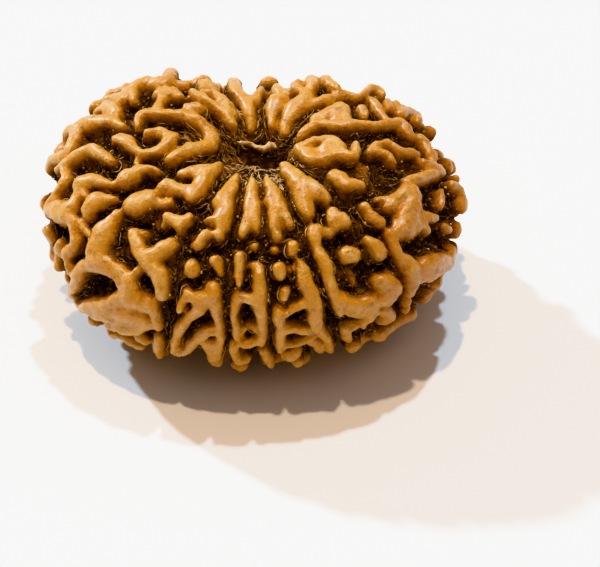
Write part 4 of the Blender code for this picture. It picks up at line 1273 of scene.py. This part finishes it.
    def material(self, grain: bpy.types.NodeTree) -> bpy.types.Material:
        """Builds the shell's material.

        Args:
            grain: the woody grain group.

        Returns:
            The material, which reads the attributes below and open.
        """
        material, sheet, shader = blank_material("seed_shell")
        place = sheet.add("TexCoord").outputs["Object"]
        opening = sheet.attribute("open")
        tone = self.tone(sheet, place, opening)
        region = sheet.spread(sheet.noise(place, self.region_size, 2.0), *self.region)
        along = sheet.add("SeparateXYZ", {"Vector": place}).outputs
        crown = self.crown(sheet, place, tone, region, along["Z"])
        groove = self.groove(sheet, place, tone, opening)
        colour = sheet.mix(sheet.spread(tone, *self.crown_tone), groove, crown)
        colour = self.shaded_right_end_and_stains(sheet, place, colour, region, along["X"])
        woody = sheet.add("Group", {"Place": place, "Grain Scale": self.grain_scale}, node_tree=grain).outputs
        rough = sheet.spread(tone, *self.rough_tone, self.deep_roughness, self.gloss_roughness)
        relief = {"Height": woody["Height"], "Distance": self.bump, "Strength": self.bump_strength}
        looks = {
            "Base Color": sheet.mix(sheet.times(woody["Pores"], self.pore_share), colour, self.flank),
            "Roughness": sheet.plus(rough, sheet.times(woody["Height"], self.grain_roughness)),
            "Coat Weight": sheet.times(sheet.spread(tone, *self.polish_tone), self.polish),
            "Normal": sheet.add("Bump", relief).outputs["Normal"],
            "Coat Roughness": self.polish_roughness,
            "Metallic": 0.0,
            "Specular IOR Level": self.shine,
            "Specular Tint": self.shine_colour,
            "Subsurface Weight": self.wax,
            "Subsurface Scale": self.wax_reach,
            "Subsurface Radius": self.wax_colour,
        }
        sheet.fill(shader, looks)
        return material


@dataclass(frozen=True)
class FibreFinish:
    """Dried fibre from near black through brown to straw, by each strand's own tint, which carries painted
    shade.
    """

    dark: tuple = shade(0.018, 0.006, 0.002)
    brown: tuple = shade(0.32, 0.11, 0.014)
    straw: tuple = shade(0.8, 0.56, 0.27)
    tint_stops: tuple = (0.0, 0.5, 1.0)
    pore_share: float = 0.5
    roughness: float = 0.45
    shine: float = 0.3
    bump: float = 0.02 * MM
    grain_scale: float = 9000.0

    def material(self, name: str, grain: bpy.types.NodeTree) -> bpy.types.Material:
        """Builds the fibre's material.

        Args:
            name: the material's name.
            grain: the woody grain group.

        Returns:
            The material, which reads the attribute tint.
        """
        material, sheet, shader = blank_material(name)
        place = sheet.add("TexCoord").outputs["Object"]
        woody = sheet.add("Group", {"Place": place, "Grain Scale": self.grain_scale}, node_tree=grain).outputs
        colour = sheet.ramp(sheet.attribute("tint"), self.tint_stops, (self.dark, self.brown, self.straw))
        bump = sheet.add("Bump", {"Height": woody["Height"], "Distance": self.bump})
        looks = {
            "Base Color": sheet.mix(sheet.times(woody["Pores"], self.pore_share), colour, self.dark),
            "Normal": bump.outputs["Normal"],
            "Roughness": self.roughness,
            "Metallic": 0.0,
            "Specular IOR Level": self.shine,
        }
        sheet.fill(shader, looks)
        return material


@dataclass
class SeedShell:
    """The ridged shell as one closed surface, finer than the solid that it stands for.

    Each pattern of lumps is a coarse one and a fine one, both as (size, shift).
    """

    form: CrestForm
    sight: Sight
    relief: Relief
    drop_divisions: int = 7
    fine_divisions: int = 8
    voxel: float = 0.16 * MM
    melt_rounds: int = 3
    melt_strength: float = 0.5
    most_triangles: int = 196000
    ray_start: float = 0.03 * MM
    ray_reach: float = 3.0 * MM
    ray_count: int = 30
    least_slant: float = 0.12
    crown_ripple: float = 0.13 * MM
    crown_lumps: tuple = ((1.0 * MM, 11.3), (0.42 * MM, 5.1))
    floor_ripple: float = 0.18 * MM
    floor_lumps: tuple = ((0.55 * MM, 2.9), (0.26 * MM, 8.3))
    fine_share: float = 0.6
    crust_start: float = 0.5
    crust_span: float = 0.8
    pit_pixels: tuple = ((254, 154), (271, 158))
    pit_sink: float = 2.0 * MM
    pit_radius: float = 0.75 * MM
    pit_depth: float = 1.5 * MM
    pit_edge: float = 0.14
    pits: list[Vector] = field(default_factory=list)
    shift: Vector = field(default_factory=Vector)
    tree: BVHTree | None = None
    crest_tree: BVHTree | None = None
    data: bpy.types.Mesh | None = None
    below: np.ndarray | None = None
    open: np.ndarray | None = None

    def ridged(self) -> tuple[bpy.types.Mesh, np.ndarray, np.ndarray]:
        """Lowers the crest form between its ridges.

        Returns:
            The surface, the crest form's own points and the top level of the nearest ridge at each.
        """
        coarse = self.form.sphere(self.drop_divisions)
        drop_tree = BVHTree.FromBMesh(coarse)
        coarse.free()
        rise = self.sight.rise(self.pit_sink)
        self.pits = [self.sight.seen_at(drop_tree, x, y - rise)[0] for x, y in self.pit_pixels]
        drawn = DrawnRidges(self.sight, drop_tree).make()
        hidden = HiddenRidges(self.form, self.sight, self.relief.profile, drop_tree).make(drawn)
        LOG.info("relief of %d drawn and %d hidden ridges", len(drawn), len(hidden))
        mesh = self.form.sphere(self.fine_divisions)
        self.crest_tree = BVHTree.FromBMesh(mesh)
        data = plain_mesh(mesh, "shell_crest")
        places, normals = corners(data), normals_of(data)
        height, level = self.relief.measure(places, normals, drawn + hidden)
        height -= self.pit_depth * self.pitted(places)
        set_corners(data, places + normals * height[:, None])
        return data, places, level

    def pitted(self, places: np.ndarray) -> np.ndarray:
        """How far places lie in the hole's two small pits.

        Args:
            places: points in the form's own frame, one row each.

        Returns:
            A share from 0 to about 1 for each place.
        """
        shares = np.zeros(len(places))
        for pit in self.pits:
            across = np.linalg.norm((places - np.array(pit))[:, :2], axis=1)
            shares += np.exp(-((across / self.pit_radius) ** 2)) * (places[:, 2] > 0)
        return shares

    def littered(self, least_depth: float) -> np.ndarray:
        """Which vertices lie deeper than a depth and outside the pits, where fibres and crumbs gather."""
        in_pit = self.pitted(corners(self.data) - np.array(self.shift)) > self.pit_edge
        return (self.below > least_depth) & ~in_pit

    def evened(self, data: bpy.types.Mesh) -> bpy.types.Object:
        """Lays small even faces over a surface.

        Args:
            data: the surface.

        Returns:
            An object of the even surface.
        """
        obj = linked("seed_surface", data)
        fuse = obj.modifiers.new("fuse", "REMESH")
        fuse.mode = "VOXEL"
        fuse.voxel_size = self.voxel
        melt = obj.modifiers.new("melt", "SMOOTH")
        melt.factor = self.melt_strength
        melt.iterations = self.melt_rounds
        obj.data = settled(obj, "shell_even")
        obj.modifiers.clear()
        return obj

    def depths(self, data: bpy.types.Mesh, crest: KDTree, level: np.ndarray) -> np.ndarray:
        """How far each vertex lies under the nearest ridge's top.

        Args:
            data: a surface in the form's own frame.
            crest: finds the crest form's points.
            level: the top level of the nearest ridge at each of those points.

        Returns:
            The depths, in metres.
        """
        depths = np.empty(len(data.vertices))
        for index, vertex in enumerate(data.vertices):
            foot, normal, _, _ = self.crest_tree.find_nearest(vertex.co)
            depths[index] = level[crest.find(foot)[1]] - (vertex.co - foot).dot(normal)
        return depths

    def lumps(self, places: np.ndarray, patterns: tuple) -> np.ndarray:
        """A pattern's height at each place: its coarse lumps with its fine ones on them."""
        coarse, fine = (ripples(places, size, shift) for size, shift in patterns)
        return coarse + self.fine_share * fine

    def roughened(self, data: bpy.types.Mesh, depths: np.ndarray) -> None:
        """Gives the crowns gentle lumps and the walls and floor a rough crust.

        Args:
            data: the surface, whose vertices are moved.
            depths: how far each vertex lies under the nearest ridge's top, in metres.
        """
        places, normals = corners(data), normals_of(data)
        deep = np.clip((depths / MM - self.crust_start) / self.crust_span, 0, 1)
        lift = (1 - deep) * self.lumps(places, self.crown_lumps) * self.crown_ripple
        lift += deep * self.lumps(places, self.floor_lumps) * self.floor_ripple
        set_corners(data, places + normals * lift[:, None])

    def rays(self) -> list[Vector]:
        """Even directions all round, by the golden angle."""
        golden = math.pi * (3 - math.sqrt(5))
        rays = []
        for i in range(self.ray_count):
            z = 1 - 2 * (i + 0.5) / self.ray_count
            flat = math.sqrt(1 - z * z)
            rays.append(Vector((flat * math.cos(golden * i), flat * math.sin(golden * i), z)))
        return rays

    def openness(self, data: bpy.types.Mesh) -> np.ndarray:
        """The share of the sky over each vertex that nothing near blocks.

        Args:
            data: the surface.

        Returns:
            The shares, from 0 to 1.
        """
        rays = self.rays()
        shares = np.empty(len(data.vertices))
        for index, vertex in enumerate(data.vertices):
            normal, start = vertex.normal, vertex.co + vertex.normal * self.ray_start
            total = clear = 0.0
            for ray in rays:
                weight = ray.dot(normal)
                if weight > self.least_slant:
                    total += weight
                    if self.tree.ray_cast(start, ray, self.ray_reach)[0] is None:
                        clear += weight
            shares[index] = clear / total if total else 0.0
        return shares

    def make(self, material: bpy.types.Material) -> bpy.types.Object:
        """Builds the shell in place, with its feet flat on the floor.

        Args:
            material: the shell's finish.

        Returns:
            The shell's object.
        """
        data, crest_places, level = self.ridged()
        crest = finder_of(crest_places)
        obj = self.evened(data)
        self.roughened(obj.data, self.depths(obj.data, crest, level))
        thin = obj.modifiers.new("thin", "DECIMATE")
        thin.ratio = self.most_triangles / (2 * len(obj.data.polygons))
        thin.use_collapse_triangulate = True
        obj.data = settled(obj, "seed_surface")
        obj.modifiers.clear()
        self.data = obj.data
        self.below = self.depths(self.data, crest, level)
        self.place()
        self.tree = BVHTree.FromPolygons(
            [vertex.co for vertex in self.data.vertices], [face.vertices for face in self.data.polygons]
        )
        self.open = self.openness(self.data)
        set_values(self.data, "below", self.below / MM)
        # the open share drives painted shade in the shell's colour and in the fibres' and crumbs' tints
        set_values(self.data, "open", self.open)
        self.data.shade_smooth()
        self.data.materials.append(material)
        return obj

    def place(self) -> None:
        """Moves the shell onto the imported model's node and flattens its feet at the floor."""
        low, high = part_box("seed")
        places = corners(self.data)
        mine_low, mine_high = places.min(axis=0), places.max(axis=0)
        middle = (mine_low + mine_high) / 2
        to_x, to_y = (low.x + high.x) / 2, (low.y + high.y) / 2
        self.shift = Vector((to_x - middle[0], to_y - middle[1], high.z - mine_high[2]))
        set_corners(self.data, above_floor(places + np.array(self.shift)))
        LOG.info("form moved by %s mm", tuple(round(value / MM, 3) for value in self.shift))


def straight_tube(name: str, rings: int, sides: int) -> bpy.types.Mesh:
    """One straight closed tube.

    Args:
        name: the mesh's name.
        rings: how many rings it has, one unit apart up its length.
        sides: how many corners a ring has.

    Returns:
        The tube.
    """
    mesh = bmesh.new()
    last = rings - 1
    bmesh.ops.create_cone(mesh, cap_ends=True, segments=sides, radius1=1, radius2=1, depth=last)
    bmesh.ops.translate(mesh, vec=(0, 0, last / 2), verts=mesh.verts)
    for level in range(1, last):
        whole = mesh.verts[:] + mesh.edges[:] + mesh.faces[:]
        bmesh.ops.bisect_plane(mesh, geom=whole, plane_co=(0, 0, level), plane_no=(0, 0, 1))
    return plain_mesh(mesh, name)


def tubes(
    template: bpy.types.Mesh, paths: np.ndarray, ups: np.ndarray, radii: np.ndarray
) -> bpy.types.Mesh:
    """Copies a straight tube and bends each copy along its path.

    Args:
        template: the straight tube.
        paths: strand by ring by three.
        ups: the outward direction at each point of the paths.
        radii: strand by ring.

    Returns:
        One mesh of all the tubes.
    """
    shape = corners(template)
    ring = np.clip(np.rint(shape[:, 2]).astype(int), 0, paths.shape[1] - 1)
    data = copies(template, len(paths))
    along = np.gradient(paths, axis=1)
    along /= np.linalg.norm(along, axis=2, keepdims=True) + TINY
    side = np.cross(ups, along)
    side /= np.linalg.norm(side, axis=2, keepdims=True) + TINY
    rise = np.cross(along, side)
    across = side[:, ring] * shape[None, :, 0:1] + rise[:, ring] * shape[None, :, 1:2]
    places = paths[:, ring] + across * radii[:, ring][:, :, None]
    set_corners(data, places.reshape(-1, 3))
    return data


class Lay(Enum):
    """How strands lie: tangled every way, or mostly along the grooves."""

    TANGLED = 0.3
    ALONG = 0.85


@dataclass(kw_only=True)
class Filling:
    """Loose matter of one kind on the shell, which is one piece and has painted shade where little sky is open
    over it.
    """

    shell: SeedShell
    material: bpy.types.Material
    name: str
    seed: int = 5
    # painted shade: how the tints darken where the sky is shut
    shut: float = 0.03
    open_span: float = 0.2
    least_tint: float = 0.5

    def __post_init__(self) -> None:
        """Starts the seeded random numbers."""
        self.draw: np.random.Generator = np.random.default_rng(self.seed)

    def with_painted_shade(self, tints: np.ndarray, openings: np.ndarray) -> np.ndarray:
        """The tints with painted shade: darker where little of the sky is open."""
        light = np.clip((openings - self.shut) / self.open_span, 0, 1)
        return tints * (self.least_tint + (1 - self.least_tint) * light)

    def piece(self, data: bpy.types.Mesh, places: np.ndarray, tints: np.ndarray) -> bpy.types.Object:
        """Finishes the piece.

        Args:
            data: its mesh.
            places: where the mesh's vertices belong.
            tints: one for each vertex.

        Returns:
            The piece, smooth-shaded and linked to the scene.
        """
        set_corners(data, places)
        set_values(data, "tint", tints)
        data.shade_smooth()
        data.materials.append(self.material)
        return linked(self.name, data)


@dataclass(kw_only=True)
class Strands(Filling):
    """Dried fibres of one kind, as thin closed tubes that lie on the deep places of the shell."""

    lay: Lay
    count: int
    rings: int
    sides: int
    length: tuple = (0.4 * MM, 1.1 * MM)
    radius: tuple = (0.025 * MM, 0.05 * MM)
    tip_share: float = 0.35
    lift: float = 0.06 * MM
    hump: float = 0.1 * MM
    least_depth: float = 0.7 * MM
    clear_depth: float = 0.4 * MM
    hole_reach: float = 0.0
    curl: float = 0.12
    steadiness: float = 3
    tint: tuple = (0.0, 0.3)
    pale_tint: tuple = (0.5, 0.95)
    pale_share: float = 0.22
    spare: float = 1.9

    def starts(self) -> np.ndarray:
        """Picks the shell's vertices that strands start from.

        Returns:
            Their numbers, with some to spare.
        """
        deep = self.shell.littered(self.least_depth)
        if self.hole_reach:
            away = corners(self.shell.data) - np.array(self.shell.shift)
            deep &= (np.hypot(away[:, 0], away[:, 1]) < self.hole_reach) & (away[:, 2] > 0)
        return self.draw.choice(np.flatnonzero(deep), size=int(self.count * self.spare))

    def is_low(self, point: Vector) -> bool:
        """Whether a point lies far enough under the ridge tops for a fibre, and outside the hole's pits."""
        inner = point - self.shell.shift
        foot, normal, _, _ = self.shell.crest_tree.find_nearest(inner)
        in_pit = self.shell.pitted(np.array([inner]))[0] > self.shell.pit_edge
        return not in_pit and (foot + self.shell.shift - point).dot(normal) > self.clear_depth

    def walk(self, place: Vector, normal: Vector) -> tuple[list[Vector], list[Vector]]:
        """Lays one strand over the shell.

        Args:
            place: where it starts.
            normal: the shell's outward direction there.

        Returns:
            The strand's points and the shell's outward directions at them.
        """
        draw = self.draw
        crestward = self.shell.crest_tree.find_nearest(place - self.shell.shift)[1]
        groove = (UP - crestward * crestward.z) * draw.choice((-1, 1))
        stray = Vector(draw.normal(size=3)).normalized()
        heading = (groove.normalized() * self.lay.value + stray * (1 - self.lay.value)).normalized()
        step = draw.uniform(*self.length) / (self.rings - 1)
        turn = Vector(draw.normal(size=3)) * self.curl
        path, up = [], []
        for _ in range(self.rings):
            path.append(place)
            up.append(normal)
            heading = heading + turn + Vector(draw.normal(size=3)) * self.curl / self.steadiness
            heading.normalize()
            heading = (heading - normal * heading.dot(normal)).normalized()
            place, normal, _, _ = self.shell.tree.find_nearest(place + heading * step)
        return path, up

    def walks(self) -> tuple[np.ndarray, np.ndarray, np.ndarray]:
        """Lays the strands over the shell's deep places.

        Returns:
            Their points and the shell's outward directions at them, both strand by ring by three, and how
            open each strand's start is.
        """
        places, outward = corners(self.shell.data), normals_of(self.shell.data)
        paths, ups, openings = [], [], []
        for start in self.starts():
            if len(paths) == self.count:
                break
            path, up = self.walk(Vector(places[start]), Vector(outward[start]))
            if all(self.is_low(point) for point in (path[0], path[len(path) // 2], path[-1])):
                paths.append(path)
                ups.append(up)
                openings.append(self.shell.open[start])
        return np.array(paths), np.array(ups), np.array(openings)

    def make(self) -> bpy.types.Object:
        """Builds the strands.

        Returns:
            The piece.
        """
        draw = self.draw
        paths, ups, openings = self.walks()
        count = len(paths)
        arch = np.sin(np.linspace(0, 1, self.rings) * math.pi)
        hump = self.lift + draw.uniform(0, self.hump, count)[:, None] * arch[None, :]
        taper = self.tip_share + (1 - self.tip_share) * arch**0.5
        radii = draw.uniform(*self.radius, count)[:, None] * taper[None, :]
        template = straight_tube(self.name, self.rings, self.sides)
        data = tubes(template, paths + ups * hump[:, :, None], ups, radii)
        pale = draw.random(count) < self.pale_share
        tints = np.where(pale, draw.uniform(*self.pale_tint, count), draw.uniform(*self.tint, count))
        # painted shade where the strand's start has little open sky
        tints = np.repeat(self.with_painted_shade(tints, openings), self.rings * self.sides)
        return self.piece(data, above_floor(corners(data)), tints)


@dataclass(kw_only=True)
class Crumbs(Filling):
    """Grains of dried pulp that lie among the fibres."""

    count: int
    size: tuple
    seed: int = 8
    stretch: tuple = (0.6, 1.3)
    dents: tuple = (0.75, 1.2)
    tint: tuple = (0.05, 0.95)
    least_depth: float = 0.65 * MM

    def make(self) -> bpy.types.Object:
        """Builds the crumbs.

        Returns:
            The piece.
        """
        draw, count = self.draw, self.count
        mesh = bmesh.new()
        bmesh.ops.create_icosphere(mesh, subdivisions=1, radius=1.0)
        template = plain_mesh(mesh, self.name)
        shape = corners(template)
        spots = draw.choice(np.flatnonzero(self.shell.littered(self.least_depth)), size=count)
        size = draw.uniform(*self.size, (count, 1, 1)) * draw.uniform(*self.stretch, (count, 1, 3))
        lumps = shape[None] * size * draw.uniform(*self.dents, (count, len(shape), 1))
        lumps = above_floor((lumps + corners(self.shell.data)[spots][:, None, :]).reshape(-1, 3))
        # painted shade where the crumb has little open sky
        tints = self.with_painted_shade(draw.uniform(*self.tint, count), self.shell.open[spots])
        return self.piece(copies(template, count), lumps, np.repeat(tints, len(shape)))


@dataclass(kw_only=True)
class StemThread(Filling):
    """The pale dried thread of the stem that lies across the hole."""

    name: str = "stem_thread"
    pixels: tuple = ((238, 142), (246, 142), (253, 145), (260, 148), (266, 148), (272, 144), (277, 148))
    radii: tuple = (0.1 * MM, 0.16 * MM, 0.2 * MM, 0.22 * MM, 0.26 * MM, 0.18 * MM, 0.1 * MM)
    sink: float = 0.75 * MM
    rings: int = 25
    sides: int = 8
    wobble: float = 0.15 * MM
    wobble_size: float = 0.3 * MM
    tint: float = 0.72
    mottle: float = 0.4
    mottle_size: float = 0.25 * MM

    def make(self) -> bpy.types.Object:
        """Builds the thread.

        Returns:
            The piece.
        """
        shell = self.shell
        rise = shell.sight.rise(self.sink)
        marks = [
            (shell.sight.seen_at(shell.crest_tree, x, y - rise)[0] + shell.shift - UP * self.sink, radius)
            for (x, y), radius in zip(self.pixels, self.radii)
        ]
        ends = [marks[0], *marks, marks[-1]]
        path, radii = [], []
        for number in range(self.rings):
            reach = number / (self.rings - 1) * (len(marks) - 1)
            first = min(int(reach), len(marks) - 2)
            four = ends[first : first + 4]
            path.append(spline([mark[0] for mark in four], reach - first))
            radii.append(spline([mark[1] for mark in four], reach - first))
        ups = np.tile(np.array(UP), (1, self.rings, 1))
        template = straight_tube(self.name, self.rings, self.sides)
        data = tubes(template, np.array([path]), ups, np.array([radii]))
        places = corners(data)
        places += self.wobble * swirls(places, self.wobble_size)
        tints = self.tint + self.mottle * ripples(places, self.mottle_size, shift=4.4)
        return self.piece(data, places, tints)


@dataclass(frozen=True)
class Lamp:
    """A far lamp: where its light travels, how bright it makes the floor, and its spread in degrees."""

    name: str
    travel: tuple
    floor_light: tuple
    spread: float = 2.5

    def make(self, floor_colour: float) -> None:
        """Adds the lamp to the scene.

        Args:
            floor_colour: how much light the floor throws back, from 0 to 1.
        """
        way = Vector(self.travel).normalized()
        strongest = max(self.floor_light)
        sun = bpy.data.lights.new(self.name, "SUN")
        sun.energy = strongest * math.pi / (floor_colour * -way.z)
        sun.color = [value / strongest for value in self.floor_light]
        sun.angle = math.radians(self.spread)
        linked(self.name, sun).rotation_euler = way.to_track_quat("-Z", "Y").to_euler()


@dataclass
class Studio:
    """The pale floor, the lamps and the soft light round the seed."""

    floor_colour: float = 0.84
    floor_roughness: float = 0.9
    floor_side: float = 1.2
    floor_gap: float = 0.01 * MM
    sky: tuple = (0.15, 0.128, 0.118)
    lamps: tuple = (
        Lamp("warm_lamp", (1.0, -0.25, -8.5), (0.425, 0.325, 0.23)),
        Lamp("low_cool_lamp", (9.8, -9.0, -8.5), (0.34, 0.425, 0.49)),
        Lamp("back_cool_lamp", (-1.2, -3.1, -8.5), (0.3, 0.39, 0.457)),
        Lamp("overhead_glow", (0.0, -0.2, -1.0), (0.17, 0.135, 0.115), 110.0),
        Lamp("front_fill", (-0.2, 1.0, -0.7), (0.06, 0.042, 0.028), 70.0),
    )

    def make(self) -> bpy.types.Object:
        """Adds floor, lamps and soft light.

        Returns:
            The floor.
        """
        mesh = bmesh.new()
        bmesh.ops.create_grid(mesh, x_segments=1, y_segments=1, size=self.floor_side / 2)
        bmesh.ops.translate(mesh, vec=(0, 0, -self.floor_gap), verts=mesh.verts)
        floor = linked("pale_floor", plain_mesh(mesh, "pale_floor"))
        material, sheet, shader = blank_material("pale_floor")
        sheet.fill(shader, {"Base Color": shade(*[self.floor_colour] * 3), "Roughness": self.floor_roughness})
        floor.data.materials.append(material)
        for lamp in self.lamps:
            lamp.make(self.floor_colour)
        world = bpy.data.worlds.new("soft_light")
        bpy.context.scene.world = world
        world.use_nodes = True
        background = world.node_tree.nodes["Background"]
        NodeSheet(world.node_tree).fill(background, {"Color": shade(*self.sky), "Strength": 1.0})
        bpy.context.scene.view_settings.view_transform = "Khronos PBR Neutral"
        return floor


def main() -> None:
    """Builds the seed, its fibres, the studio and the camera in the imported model's frame."""
    logging.basicConfig(level=logging.INFO, format="%(name)s: %(message)s")
    noise.seed_set(NOISE_SEED)
    for obj in list(bpy.data.objects):
        bpy.data.objects.remove(obj)
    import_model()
    grain = WoodyGrain().group()
    sight = Sight()
    shell = SeedShell(CrestForm(), sight, Relief(RidgeProfile()))
    surface = shell.make(ShellFinish().material(grain))
    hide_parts("seed")
    dried = {"shell": shell, "material": FibreFinish().material("dried_fibre", grain)}
    fillings = [
        Strands(**dried, name="groove_fibres", lay=Lay.TANGLED, count=6000, rings=5, sides=3),
        Strands(
            **dried, name="long_fibres", lay=Lay.ALONG, count=2600, rings=7, sides=3, seed=6,
            length=(0.6 * MM, 1.6 * MM), curl=0.08,
        ),
        Strands(
            **dried, name="hole_fibres", lay=Lay.ALONG, count=1100, rings=5, sides=4, seed=12,
            length=(0.4 * MM, 1.5 * MM), radius=(0.03 * MM, 0.06 * MM), clear_depth=0.3 * MM,
            hole_reach=5.5 * MM, pale_share=0.75,
        ),
        Crumbs(**dried, name="groove_crumbs", count=9800, size=(0.035 * MM, 0.08 * MM)),
        Crumbs(**dried, name="groove_grains", count=4600, size=(0.08 * MM, 0.15 * MM), seed=9),
        StemThread(**dried),
    ]
    for piece in [surface] + [filling.make() for filling in fillings]:
        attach(piece, "root")
        LOG.info("%s: %d faces", piece.name, len(piece.data.polygons))
    Studio().make()
    sight.camera(shell.shift)


if __name__ == "__main__":
    main()
